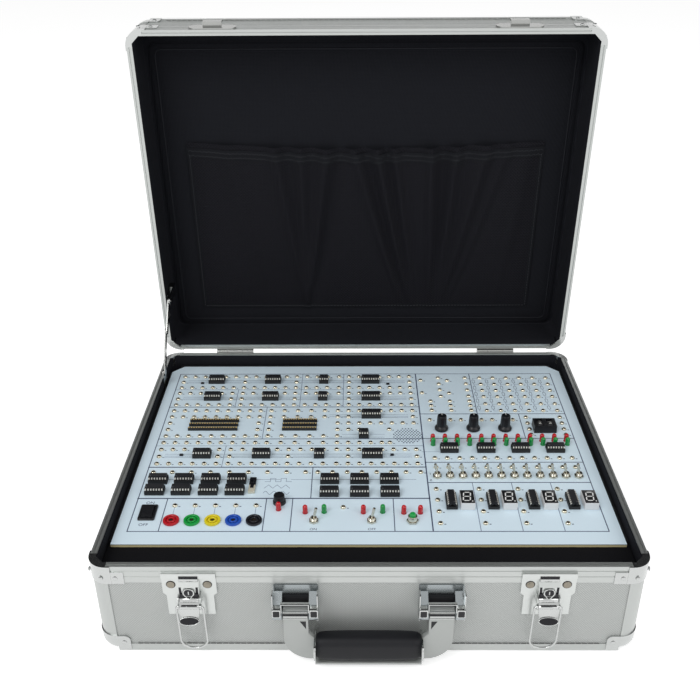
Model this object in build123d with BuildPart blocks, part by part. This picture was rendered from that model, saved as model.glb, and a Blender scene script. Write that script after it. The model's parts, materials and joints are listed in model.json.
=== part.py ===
from build123d import *
from math import atan2, cos, degrees, dist, radians, sin, sqrt, tan
import os

# A digital logic trainer: a panel of terminals, sockets, lamps and switches in a carrying case with an
# aluminium frame. X runs to the right, Y from the front wall to the hinges, Z up. The origin is at the
# centre of the underside, and the lid stands open on its stay. Sizes are in millimetres.

os.makedirs("parts", exist_ok=True)

# ------------------------------------------------------------------ driving dimensions: case
case_width = 460.0
case_depth = 358.0
base_height = 97.0  # from the underside to the parting plane
lid_height = 53.0
parting_gap = 0.5  # between the two rims when the lid is shut
lid_open_angle = 86.5
corner_radius = 16.0
profile_thickness = 0.8  # the edge profiles stand this proud of the panels
panel_thickness = 4.0
lining_thickness = 0.7
edge_flange = 10.0  # legs of the profile round the closed end
edge_rounding = 4.0
rim_depth = 17.0  # outer skirt of the rim profile
rim_land = 3.0
rim_inner_skirt = 10.75
rim_groove_width = 1.2
rim_groove_depth = 1.0
rim_groove_inset = 2.0
rim_bead_depth = 0.3
rim_bead_width = 1.0
rim_bead_drops = (4.5, 10.5)

# Corner pieces
casting_proud = 1.0
casting_reach = 19.5  # along each wall from the corner
casting_drop = 17.75  # below the rim
casting_web_leg = 7.0
tab_thickness = 0.8
rim_tab_reach = 30.0
rim_tab_height = 12.0
cap_height = 19.5
cap_rounding = 12.0
cap_tab_reach = 27.0
cap_tab_rounding = 5.0

# ------------------------------------------------------------------ driving dimensions: fittings
fit_clearance = 0.05  # between a pin and its bore
side_clearance = 0.3  # between faces that slide past each other
small_sides = 8  # flats round a small part that has no running fit
round_sides = 12

hinge_spacing = 302.0
hinge_width = 42.0
hinge_end_knuckle = 12.0
hinge_leaf_height = 21.5
hinge_leaf_thickness = 1.2
hinge_knuckle_radius = 3.2
hinge_pin_radius = 1.5
hinge_cutback = 3.5

stay_bar_width = 7.0
stay_bar_thickness = 1.2
stay_pin_radius = 1.5
stay_rivet_rise = 0.8
stay_lower_length = 46.0
stay_upper_length = 35.4
stay_base_setback = 56.2  # of the lower pivot, in front of the hinge line
stay_base_rise = 4.0  # of the lower pivot, above the parting plane
stay_lid_setback = 69.0  # of the lid pivot, in front of the hinge line when shut
stay_lid_drop = 3.0
stay_foot_width = 12.0
stay_foot_height = 10.0
stay_base_foot_drop = 8.0  # from the parting plane to the middle of the lower foot
stay_lid_foot_rise = 24.0

latch_spacing = 294.0
latch_plate_width = 44.6
latch_plate_top = 91.0
latch_plate_waist = 67.0
latch_plate_foot = 46.0
latch_plate_narrow = 39.0
latch_plate_thickness = 1.2
latch_lip_height = 5.0
latch_lip_thickness = 2.4
latch_housing_width = 17.0
latch_housing_bottom = 70.0
latch_housing_top = 84.5
latch_housing_depth = 5.5
lock_radius = 4.1
lock_height = 74.5
lock_proud = 0.9
lever_width = 16.4
lever_hinge_height = 66.5
lever_hinge_proud = 5.5
lever_barrel_radius = 2.6
lever_pin_radius = 1.2
lever_ear_thickness = 1.0
lever_boss_height = 61.0
lever_boss_proud = 8.2
lever_boss_radius = 2.4
lever_tip_height = 49.5
lever_tip_proud = 15.5
lever_blade_radius = 0.95
bail_wire_radius = 1.15
bail_width = 22.2  # between the centre lines of its legs
bail_length = 50.0
bail_pin_length = 6.0
bail_corner_radius = 8.0
bail_tilt = 3.4
catch_width = 46.0
catch_height = 15.0
catch_thickness = 1.2
catch_hook_width = 18.0
catch_hook_proud = 6.0
catch_hook_lip = 1.5
catch_throat = 3.1

handle_spacing = 120.0  # between the two brackets
bracket_width = 37.2
bracket_bottom = 43.0
bracket_top = 78.0
bracket_thickness = 0.6  # proud of the edge profiles
bracket_window_width = 21.6
bracket_window_bottom = 53.0
bracket_window_top = 66.0
bracket_knuckle_radius = 6.0
handle_pin_height = 56.0
handle_pin_proud = 9.5
handle_pin_radius = 1.8
arm_barrel_radius = 5.5
arm_thickness = 5.5
arm_inner_proud = 8.0
arm_sweep_radius = 23.0
grip_length = 88.0
grip_depth = 17.0
grip_height = 26.0
grip_bottom = 9.0
grip_rounding = 6.0
carrier_thickness = 2.5
carrier_depth = 14.0

# ------------------------------------------------------------------ driving dimensions: inside
filler_depth = 33.8  # foam strip in front of the circuit board
filler_lap = 8.0  # of the foam under the board
board_width = 441.0
board_depth = 304.9
board_thickness = 3.0
board_drop = 11.0  # of the board's face below the parting plane
board_chamfer = 12.0
batten_width = 14.0
batten_height = 15.0
back_board_margin = 3.0
back_board_front_gap = 15.5
back_board_thickness = 2.5
pocket_width = 383.0
pocket_height = 202.0
pocket_hinge_gap = 25.5

terminal_radius = 2.65
terminal_sides = 4
terminal_height = 2.2
socket_depth = 10.0
socket_height = 4.4
chip_depth = 6.4
chip_height = 3.4
pin_pitch = 2.54
header_width = 2.5
header_height = 2.6
header_row_pitch = 5.08
led_radius = 2.5
led_height = 8.6
display_width = 12.6
display_depth = 19.0
display_height = 8.0

banana_flange_radius = 7.25
banana_flange_height = 2.3
banana_barrel_radius = 4.0
banana_barrel_length = 18.0
banana_tube_radius = 3.2
banana_bore_radius = 2.05
banana_ring_width = 1.4
banana_recess_depth = 1.1

toggle_nut_radius = 4.6
toggle_nut_height = 2.0
toggle_bush_radius = 3.2
toggle_bush_height = 5.0
toggle_slot_length = 3.4
toggle_pivot_height = 3.7
toggle_tail = 1.0
toggle_length = 11.4
toggle_root_width = 2.0
toggle_root_thickness = 1.7
toggle_root_rise = 2.0  # of the flat-sided root above the pivot
toggle_neck_radius = 1.15
toggle_tip_radius = 1.45
toggle_lean = 12.0

rocker_frame_width = 15.0
rocker_frame_depth = 21.0
rocker_frame_height = 1.6
rocker_body_depth = 12.0
rocker_body_inset = 1.0
rocker_width = 9.8
rocker_radius = 8.3
rocker_pivot_depth = 1.0
rocker_middle = 3.0  # from the pivot to the dip between the two faces
rocker_floor = 3.0
rocker_lean = 12.0
rocker_pin_radius = 1.2
rocker_pin_length = 1.1

pot_nut_radius = 4.5
pot_nut_height = 1.8
pot_bush_radius = 3.0
pot_bush_height = 3.5
pot_shaft_radius = 1.5
knob_lift = 0.5  # of the skirt above the board
knob_height = 16.5
knob_skirt_radius = 7.0
knob_skirt_edge = 1.8
knob_skirt_top = 5.0
knob_body_radius = 5.2
knob_crown_radius = 4.7
knob_recess_radius = 5.2
knob_recess_height = 3.4
knob_flutes = 10

button_nut_radius = 5.5
button_nut_height = 2.0
button_bezel_radius = 4.2
button_bezel_height = 6.5
button_body_depth = 8.0
button_cap_radius = 3.0
button_cap_top = 9.5
button_travel = 1.5

slide_width = 6.0
slide_depth = 21.5
slide_height = 3.0
slide_slot_width = 3.2
slide_slot_depth = 10.6
slide_knob_depth = 5.4
slide_knob_height = 5.0

fuse_collar_radius = 5.9
fuse_collar_height = 3.0
fuse_cap_radius = 5.0
fuse_cap_height = 9.0
fuse_barrel_radius = 4.2
fuse_barrel_length = 22.0
fuse_slot_width = 1.4

bcd_width = 22.5
bcd_depth = 15.6
bcd_height = 8.0
bcd_wall = 1.0
bcd_body_depth = 8.0
bcd_body_inset = 0.7
bcd_wheel_radius = 6.2
bcd_wheel_width = 5.6
bcd_wheel_spacing = 10.4
bcd_axle_height = 2.4
bcd_axle_radius = 1.0

speaker_radius = 20.0
speaker_flange = 4.0
speaker_magnet_radius = 11.0
speaker_depth = 12.0

supply_width = 98.0
supply_depth = 106.0
supply_height = 38.0
supply_foot = 10.0
supply_plate = 2.0
supply_rear_gap = 62.0
inlet_from_centre = -150.0
inlet_height = 35.0
inlet_flange_width = 50.0
inlet_flange_height = 28.0
inlet_flange_proud = 1.8
inlet_body_width = 27.6
inlet_body_height = 20.4
inlet_body_depth = 24.0
inlet_recess_width = 24.4
inlet_recess_height = 16.8
inlet_recess_depth = 17.0
inlet_key_chamfer = 4.0
inlet_blade_length = 14.0

# ------------------------------------------------------------------ places on the board
# Each is measured from the board's centre line and from its front edge.
grid_left = -203.5
grid_pitch = 11.5
grid_columns = 15
side_grid_left = -29.5
side_grid_pitch = 11.25
side_grid_columns = 8
grid_rear = 280.7
grid_row_pitch = 11.8
inner_left = -86.0
inner_pitch = 14.2
edge_column = 23.6
column_left = 66.5  # the twelve logic lamps and switches
column_pitch = 12.15
column_count = 12
toggle_row = 95.2
red_row = 154.2
green_row = 147.7
banana_left = -174.0
banana_pitch = 18.35
banana_count = 5
banana_row = 30.6
pot_columns = (77.2, 109.7, 142.1)
pot_row = 175.7
pot_lead_spread = 10.7
pot_lead_row = 192.0
rocker_place = (-196.8, 41.8)
fuse_place = (-80.0, 56.6)
source_toggle_places = ((-47.6, 30.1), (3.5, 30.1))
button_place = (39.6, 30.2)
slide_place = (-107.0, 80.2)
slide_knob_offset = 2.3  # towards the rear at rest
bcd_place = (182.25, 175.9)
speaker_place = (42.0, 163.7)
header_rear = 187.3
header_starts = ((-183.75, 20), (-87.3, 14))
display_columns = (90.2, 128.1, 164.5, 200.8)
display_row = 55.2
decoder_columns = (76.1, 113.7, 150.0, 185.9)
decoder_row = 56.4
code_columns = (64.1, 103.7, 139.7, 176.0)
code_rows = (75.7, 59.7, 43.3, 27.1)
parts_left = 128.2  # resistors, capacitors and diodes
parts_pitch = 14.86
parts_rows = (277.4, 263.7, 250.5, 237.5, 223.0, 209.7)

# ------------------------------------------------------------------ derived sizes and frames
MIN, MID, MAX = Align.MIN, Align.CENTER, Align.MAX
corner_block = profile_thickness + panel_thickness  # from the outer face to the lining
wall = corner_block + lining_thickness
base_rim = base_height - parting_gap / 2
lid_rim = lid_height - parting_gap / 2
base = Plane.XY
hinge_y = case_depth / 2 + hinge_knuckle_radius


def moved(frame, x=0, y=0, z=0, turn=0):
    """A copy of a frame, moved in its own directions and turned about its z."""
    return Plane(frame.location * Location((x, y, z), (0, 0, turn)))


shut_lid = Plane(origin=(0, 0, base_height + lid_height), x_dir=(1, 0, 0), z_dir=(0, 0, -1))
lid_swing = Location((0, hinge_y, base_height), (-lid_open_angle, 0, 0)) * Location(
    (0, -hinge_y, -base_height)
)
lid = Plane(lid_swing * shut_lid.location)
board_top = base_height - board_drop
board_front = -case_depth / 2 + wall + filler_depth
board = Plane((0, board_front, board_top))
under_board = moved(board, z=-board_thickness)


def walls(frame):
    """The outer faces of a tray's four walls: x along the wall, y into the tray, z to the rim."""
    return [
        moved(frame, y=-case_depth / 2),
        moved(frame, x=case_width / 2, turn=90),
        moved(frame, y=case_depth / 2, turn=180),
        moved(frame, x=-case_width / 2, turn=270),
    ]


def run_length(side):
    """Length of a wall between its two rounded corners."""
    return (case_depth if side % 2 else case_width) - 2 * corner_radius


def corners(frame):
    """Centres of the rounded corners. The outside is the quarter between x and y."""
    x = case_width / 2 - corner_radius
    y = case_depth / 2 - corner_radius
    places = ((x, y, 0), (-x, y, 90), (-x, -y, 180), (x, -y, 270))
    return [moved(frame, x=px, y=py, turn=turn) for px, py, turn in places]


def inward(face, at=0):
    """A section across a wall: x into the tray, y to the rim."""
    return Plane(moved(face, x=at).origin, x_dir=face.y_dir, z_dir=face.x_dir)


def outward(face, at=0):
    """A section across a wall: x out of the tray, y to the rim."""
    return Plane(moved(face, x=at).origin, x_dir=-face.y_dir, z_dir=-face.x_dir)


def front_of(face, at=0):
    """A wall seen from outside: x along it, y to the rim, z outwards."""
    return Plane(moved(face, x=at).origin, x_dir=face.x_dir, z_dir=-face.y_dir)


base_front, base_right, base_rear, base_left = walls(base)
lid_rear, lid_right, lid_front, lid_left = walls(lid)


def write(piece, name):
    piece.label = name
    export_step(piece, f"parts/{name}.step")


def group(name, pieces):
    """Pieces that touch and stay separate solids of one node."""
    write(Compound(children=[solid for piece in pieces for solid in piece.solids()]), name)


# ------------------------------------------------------------------ the two trays of the case
def wall_panels(frame, rim):
    """Four laminated wall panels, from the edge profile up into the rim profile."""
    for side, face in enumerate(walls(frame)):
        with BuildSketch(inward(face)) as panel:
            with Locations((profile_thickness, corner_block)):
                Rectangle(panel_thickness, rim - rim_land - corner_block, align=(MIN, MIN))
        extrude(panel.sketch, amount=run_length(side) / 2, both=True)


def end_panel(frame):
    """The panel of the closed end, notched at its corners, with its skin inside the flanges."""
    notch = corner_radius - corner_block
    with BuildSketch(moved(frame, z=profile_thickness)) as core:
        Rectangle(case_width - 2 * corner_block, case_depth - 2 * corner_block)
        with GridLocations(case_width - 2 * corner_block, case_depth - 2 * corner_block, 2, 2):
            Rectangle(2 * notch, 2 * notch, mode=Mode.SUBTRACT)
    extrude(core.sketch, amount=panel_thickness)
    with BuildSketch(frame) as skin:
        Rectangle(case_width - 2 * edge_flange, case_depth - 2 * edge_flange)
        with GridLocations(case_width - 2 * edge_flange, case_depth - 2 * edge_flange, 2, 2):
            Rectangle(2 * (corner_radius - edge_flange), 2 * (corner_radius - edge_flange), mode=Mode.SUBTRACT)
    extrude(skin.sketch, amount=profile_thickness)


def rim_bars(frame, rim):
    """The rim extrusion: a grooved land over a beaded outer skirt and a short inner one."""
    for side, face in enumerate(walls(frame)):
        with BuildSketch(inward(face)) as profile:
            with Locations((0, rim)):
                Rectangle(wall, rim_land, align=(MIN, MAX))
                Rectangle(profile_thickness, rim_depth, align=(MIN, MAX))
            with Locations((wall, rim)):
                Rectangle(lining_thickness, rim_inner_skirt, align=(MAX, MAX))
            with Locations((rim_groove_inset, rim)):
                Rectangle(rim_groove_width, rim_groove_depth, align=(MIN, MAX), mode=Mode.SUBTRACT)
            with Locations(*[(0, rim - drop) for drop in rim_bead_drops]):
                Rectangle(2 * rim_bead_depth, rim_bead_width, mode=Mode.SUBTRACT)
        extrude(profile.sketch, amount=run_length(side) / 2, both=True)


def edge_bars(frame, rim):
    """The L extrusion round the closed end, and the quarter posts up the four corners."""
    for side, face in enumerate(walls(frame)):
        with BuildSketch(inward(face)) as profile:
            Rectangle(corner_block, corner_block, align=(MIN, MIN))
            Rectangle(edge_flange, profile_thickness, align=(MIN, MIN))
            Rectangle(profile_thickness, edge_flange, align=(MIN, MIN))
            fillet(profile.vertices().sort_by_distance((0, 0, 0))[0], edge_rounding)
        extrude(profile.sketch, amount=run_length(side) / 2, both=True)
    for corner in corners(frame):
        with BuildSketch(moved(corner, z=cap_height)) as post:
            Circle(corner_radius)
            Circle(corner_radius - corner_block, mode=Mode.SUBTRACT)
            Rectangle(corner_radius, corner_radius, align=(MIN, MIN), mode=Mode.INTERSECT)
        extrude(post.sketch, amount=rim - rim_inner_skirt - cap_height)


def rim_castings(frame, rim):
    """Bright castings at the rim's corners, with a diagonal web inside and riveted tabs."""
    with BuildSketch(moved(frame, z=rim - rim_inner_skirt)) as block:
        with GridLocations(case_width, case_depth, 2, 2):
            Rectangle(2 * corner_radius, 2 * corner_radius)
        RectangleRounded(case_width, case_depth, corner_radius, mode=Mode.INTERSECT)
    extrude(block.sketch, amount=rim_inner_skirt)
    with BuildSketch(moved(frame, z=rim - rim_inner_skirt)) as mouth:
        Rectangle(case_width - 2 * wall, case_depth - 2 * wall)
        chamfer(mouth.vertices(), casting_web_leg)
    extrude(mouth.sketch, amount=rim_inner_skirt, mode=Mode.SUBTRACT)
    with BuildSketch(moved(frame, z=rim - casting_drop)) as band:
        with GridLocations(case_width, case_depth, 2, 2):
            Rectangle(2 * casting_reach, 2 * casting_reach)
        RectangleRounded(
            case_width + 2 * casting_proud,
            case_depth + 2 * casting_proud,
            corner_radius + casting_proud,
            mode=Mode.INTERSECT,
        )
        RectangleRounded(case_width, case_depth, corner_radius, mode=Mode.SUBTRACT)
    extrude(band.sketch, amount=casting_drop)
    for side, face in enumerate(walls(frame)):
        tab_length = rim_tab_reach - corner_radius
        with BuildSketch(front_of(face)) as tabs:
            with Locations((0, rim - casting_drop)):
                for end in (-1, 1):
                    with Locations((end * (run_length(side) - tab_length) / 2, 0)):
                        Rectangle(tab_length, rim_tab_height, align=(MID, MIN))
        extrude(tabs.sketch, amount=tab_thickness)


def ball_caps(frame):
    """Pressed caps over the corners of the closed end, with a riveted tab on each wall."""
    cap_radius = corner_radius + profile_thickness
    for corner in corners(frame):
        quarter = Plane(corner.origin, x_dir=corner.x_dir, z_dir=-corner.y_dir)
        with BuildSketch(quarter) as profile:
            Rectangle(cap_radius, cap_height, align=(MIN, MIN))
            fillet(profile.vertices().sort_by_distance((cap_radius, 0, 0))[0], cap_rounding)
            with Locations((0, corner_block)):
                Rectangle(
                    corner_radius - corner_block, cap_height - corner_block, align=(MIN, MIN), mode=Mode.SUBTRACT
                )
        revolve(profile.sketch, axis=Axis(corner.origin, corner.z_dir), revolution_arc=90)
    for side, face in enumerate(walls(frame)):
        tab_length = cap_tab_reach - corner_radius
        places = [(end * (run_length(side) - tab_length) / 2, edge_rounding) for end in (-1, 1)]
        with BuildSketch(front_of(face)) as tabs:
            with Locations(*places):
                Rectangle(tab_length, cap_height - edge_rounding, align=(MID, MIN))
            inner_top = tabs.vertices().group_by(Axis.Y)[-1].sort_by(Axis.X)[1:3]
            fillet(inner_top, cap_tab_rounding)
        extrude(tabs.sketch, amount=tab_thickness)
        with BuildSketch(front_of(face)) as seats:
            add(Plane.XY * Sketch(tabs.sketch_local.wrapped))
            with Locations((0, edge_flange)):
                Rectangle(case_width, cap_height, align=(MID, MIN), mode=Mode.INTERSECT)
        extrude(seats.sketch, amount=-profile_thickness)


def lining_tray(frame, rim):
    """The thin lining inside a tray, up to the rim's inner skirt."""
    with BuildSketch(moved(frame, z=corner_block)) as outside:
        RectangleRounded(
            case_width - 2 * corner_block, case_depth - 2 * corner_block, corner_radius - corner_block
        )
    extrude(outside.sketch, amount=rim - rim_inner_skirt - corner_block)
    with BuildSketch(moved(frame, z=wall)) as inside:
        RectangleRounded(case_width - 2 * wall, case_depth - 2 * wall, corner_radius - wall)
    extrude(inside.sketch, amount=rim, mode=Mode.SUBTRACT)


def mains_cutout(clearance):
    """The opening in the rear wall that the mains inlet passes through."""
    with BuildSketch(front_of(base_rear, -inlet_from_centre)) as cutout:
        with Locations((0, inlet_height)):
            Rectangle(inlet_body_width + 2 * clearance, inlet_body_height + 2 * clearance)
    extrude(cutout.sketch, amount=-2 * wall, mode=Mode.SUBTRACT)


# Base tray
with BuildPart() as base_walls:
    wall_panels(base, base_rim)
    mains_cutout(side_clearance)
with BuildPart() as base_bottom:
    end_panel(base)
group("base_panels", [base_walls.part, base_bottom.part])

with BuildPart() as base_rim_bars:
    rim_bars(base, base_rim)
write(base_rim_bars.part, "base_rim")

with BuildPart() as base_edges:
    edge_bars(base, base_rim)
write(base_edges.part, "base_edge_profiles")

with BuildPart() as base_corner_pieces:
    rim_castings(base, base_rim)
    ball_caps(base)
write(base_corner_pieces.part, "base_corners")

with BuildPart() as base_tray:
    lining_tray(base, base_rim)
    mains_cutout(side_clearance)
write(base_tray.part, "base_lining")

# Lid tray
with BuildPart() as lid_walls:
    wall_panels(lid, lid_rim)
with BuildPart() as lid_top:
    end_panel(lid)
group("lid_panels", [lid_walls.part, lid_top.part])

with BuildPart() as lid_rim_bars:
    rim_bars(lid, lid_rim)
write(lid_rim_bars.part, "lid_rim")

with BuildPart() as lid_edges:
    edge_bars(lid, lid_rim)
write(lid_edges.part, "lid_edge_profiles")

with BuildPart() as lid_corner_pieces:
    rim_castings(lid, lid_rim)
    ball_caps(lid)
write(lid_corner_pieces.part, "lid_corners")

# The stiff board behind the pocket lies on the lining and stops short of the front wall.
back_board_depth = case_depth - 2 * wall - back_board_front_gap - back_board_margin / 2
back_board_centre = -case_depth / 2 + wall + back_board_margin / 2 + back_board_depth / 2
with BuildPart() as lid_tray:
    lining_tray(lid, lid_rim)
with BuildPart() as back_board:
    with BuildSketch(moved(lid, y=back_board_centre, z=wall)):
        RectangleRounded(
            case_width - 2 * wall - 2 * back_board_margin, back_board_depth, corner_radius - wall
        )
    extrude(amount=back_board_thickness)
group("lid_lining", [lid_tray.part, back_board.part])


# ------------------------------------------------------------------ lid pocket
# Elastic gathers the top hem, so folds fan out from it and die away towards the sewn foot.
fold_shares = (0.0, 0.09, 0.24, 0.39, 0.47, 0.53, 0.58, 0.68, 0.84, 0.91, 1.0)
fold_drift = (0.0, 0.09, 0.08, -0.02, -0.05, -0.01, 0.02, 0.04, -0.08, -0.03, 0.0)
pocket_rows = ((0.0, 0.6, 0.5), (0.16, 2.2, 2.0), (0.5, 4.0, 4.6), (0.86, 4.2, 6.4), (0.97, 3.2, 3.4), (1.0, 2.4, 2.4))


def pocket_section(up, valley, crest):
    """One section across the pocket, a share of its height up from the foot."""
    foot = -case_depth / 2 + wall + pocket_hinge_gap
    plane = Plane(
        moved(lid, y=foot + up * pocket_height, z=wall + back_board_thickness).origin,
        x_dir=lid.x_dir,
        z_dir=-lid.y_dir,
    )
    places = [
        (share + drift * (1 - up) - 0.5) * pocket_width for share, drift in zip(fold_shares, fold_drift)
    ]
    with BuildSketch(plane) as section:
        with BuildLine():
            left = (places[0], 0)
            Line(left, (places[0], valley))
            for start, end in zip(places, places[1:]):
                ThreePointArc((start, valley), ((start + end) / 2, crest + 0.01), (end, valley))
            Line((places[-1], valley), (places[-1], 0))
            Line((places[-1], 0), left)
        make_face()
    return section.sketch


with BuildPart() as lid_pocket:
    loft([pocket_section(up, valley, crest).face() for up, valley, crest in pocket_rows], ruled=True)
write(lid_pocket.part, "lid_pocket")


# ------------------------------------------------------------------ hinges
def hinge_half(face, height, knuckles):
    """One leaf at each hinge place, with knuckles given as offset and width along the pin."""
    for place in (-hinge_spacing / 2, hinge_spacing / 2):
        with BuildSketch(outward(face, place)) as leaf:
            with Locations((0, height - hinge_cutback)):
                Rectangle(hinge_leaf_thickness, hinge_leaf_height, align=(MIN, MAX))
            with Locations((0, height - parting_gap / 2 - rim_depth)):
                Rectangle(2 * profile_thickness, hinge_leaf_height, align=(MID, MAX))
            with Locations((0, height - hinge_cutback - hinge_leaf_height)):
                Rectangle(hinge_width, hinge_leaf_height, align=(MID, MAX), mode=Mode.SUBTRACT)
        extrude(leaf.sketch, amount=hinge_width / 2, both=True)
        for offset, width in knuckles:
            with BuildSketch(outward(face, place + offset)) as knuckle:
                with Locations((hinge_knuckle_radius, height)):
                    Circle(hinge_knuckle_radius)
                with Locations((0, height)):
                    Rectangle(hinge_leaf_thickness, hinge_cutback, align=(MIN, MAX))
            extrude(knuckle.sketch, amount=width / 2, both=True)


def hinge_pin_bore(face, height, radius, length, mode):
    """A pin, or the bore for it, on the hinge line at each hinge place."""
    for place in (-hinge_spacing / 2, hinge_spacing / 2):
        with BuildSketch(outward(face, place)) as round_bar:
            with Locations((hinge_knuckle_radius, height)):
                Circle(radius)
        extrude(round_bar.sketch, amount=length / 2, both=True, mode=mode)


# ------------------------------------------------------------------ lid stay
def swung(point, angle):
    """A point (y, z) carried round the hinge line by the lid; positive shuts the lid."""
    y, z = point[0] - hinge_y, point[1] - base_height
    c, s = cos(radians(angle)), sin(radians(angle))
    return (hinge_y + y * c - z * s, base_height + y * s + z * c)


def knee(foot, head):
    """Where the two arms meet, on the side towards the front and up."""
    span = dist(foot, head)
    along = (span**2 + stay_lower_length**2 - stay_upper_length**2) / (2 * span)
    off = sqrt(max(stay_lower_length**2 - along**2, 0))
    uy, uz = (head[0] - foot[0]) / span, (head[1] - foot[1]) / span
    if uy * 1 + uz * 1 < 0:
        uy_off, uz_off = uz, -uy
    else:
        uy_off, uz_off = -uz, uy
    return (foot[0] + along * uy + off * uy_off, foot[1] + along * uz + off * uz_off)


stay_foot = (hinge_y - stay_base_setback, base_height + stay_base_rise)
stay_head_shut = (hinge_y - stay_lid_setback, base_height - stay_lid_drop)
stay_head = swung(stay_head_shut, -lid_open_angle)
stay_knee = knee(stay_foot, stay_head)
stay_knee_shut = knee(stay_foot, stay_head_shut)
inner_face = -case_width / 2 + wall
bracket_x = inner_face + side_clearance
lower_arm_x = bracket_x + stay_bar_thickness + side_clearance
upper_arm_x = lower_arm_x + stay_bar_thickness + side_clearance
lid_bracket_x = upper_arm_x + stay_bar_thickness + side_clearance


def side_plane(x):
    """A plane across the case at x: its x is the row's Y and its y the row's Z."""
    return Plane((x, 0, 0), x_dir=(0, 1, 0), z_dir=(1, 0, 0))


def stay_bar(x, start, end):
    """A round-ended flat bar from one pivot to the other."""
    middle = ((start[0] + end[0]) / 2, (start[1] + end[1]) / 2)
    angle = degrees(atan2(end[1] - start[1], end[0] - start[0]))
    with BuildSketch(side_plane(x)) as bar:
        with Locations(Location((middle[0], middle[1], 0), (0, 0, angle))):
            SlotCenterToCenter(dist(start, end), stay_bar_width)
    extrude(bar.sketch, amount=stay_bar_thickness)


def stay_pin(x, point, length, radius, mode=Mode.ADD):
    with BuildSketch(side_plane(x)) as pin:
        with Locations(point):
            Circle(radius)
    extrude(pin.sketch, amount=length, mode=mode)


def stay_foot_plate(x, pivot, wall_point, angle):
    """A bracket from its pivot eye to a foot, with a pad that carries the foot off the wall."""
    with BuildSketch(side_plane(x)) as plate:
        with Locations(pivot):
            Circle(stay_bar_width / 2 + 1)
        with Locations(Location((wall_point[0], wall_point[1], 0), (0, 0, angle))):
            Rectangle(stay_foot_width, stay_foot_height)
        make_hull()
    extrude(plate.sketch, amount=stay_bar_thickness)
    with BuildSketch(side_plane(inner_face)) as pad:
        with Locations(Location((wall_point[0], wall_point[1], 0), (0, 0, angle))):
            Rectangle(stay_foot_width, stay_foot_height)
    extrude(pad.sketch, amount=x - inner_face)


end_knuckle_offset = (hinge_width - hinge_end_knuckle) / 2
middle_knuckle = hinge_width - 2 * hinge_end_knuckle - 2 * side_clearance
pin_reach = stay_bar_thickness + side_clearance
with BuildPart() as base_hinges:
    hinge_half(
        base_rear, base_height, [(-end_knuckle_offset, hinge_end_knuckle), (end_knuckle_offset, hinge_end_knuckle)]
    )
    hinge_pin_bore(base_rear, base_height, hinge_pin_radius, hinge_width, Mode.ADD)
    stay_foot_plate(bracket_x, stay_foot, (stay_foot[0], base_height - stay_base_foot_drop), 0)
    stay_pin(bracket_x, stay_foot, pin_reach + stay_bar_thickness, stay_pin_radius)
write(base_hinges.part, "base_hinge_hardware")

lid_foot = swung((stay_head_shut[0], base_height + stay_lid_foot_rise), -lid_open_angle)
with BuildPart() as lid_hinges:
    hinge_half(lid_rear, lid_height, [(0, middle_knuckle)])
    hinge_pin_bore(lid_rear, lid_height, hinge_pin_radius + fit_clearance, hinge_width, Mode.SUBTRACT)
    stay_foot_plate(lid_bracket_x, stay_head, lid_foot, -lid_open_angle)
    stay_pin(lid_bracket_x, stay_head, stay_bar_thickness + stay_rivet_rise, stay_pin_radius)
write(lid_hinges.part, "lid_hinge_hardware")

with BuildPart() as lower_arm:
    stay_bar(lower_arm_x, stay_foot, stay_knee)
    stay_pin(lower_arm_x, stay_foot, stay_bar_thickness, stay_pin_radius + fit_clearance, Mode.SUBTRACT)
    stay_pin(lower_arm_x, stay_knee, pin_reach + stay_bar_thickness, stay_pin_radius)
write(lower_arm.part, "stay_lower_arm")

with BuildPart() as upper_arm:
    stay_bar(upper_arm_x, stay_knee, stay_head)
    stay_pin(upper_arm_x, stay_knee, stay_bar_thickness, stay_pin_radius + fit_clearance, Mode.SUBTRACT)
write(upper_arm.part, "stay_upper_arm")


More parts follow.
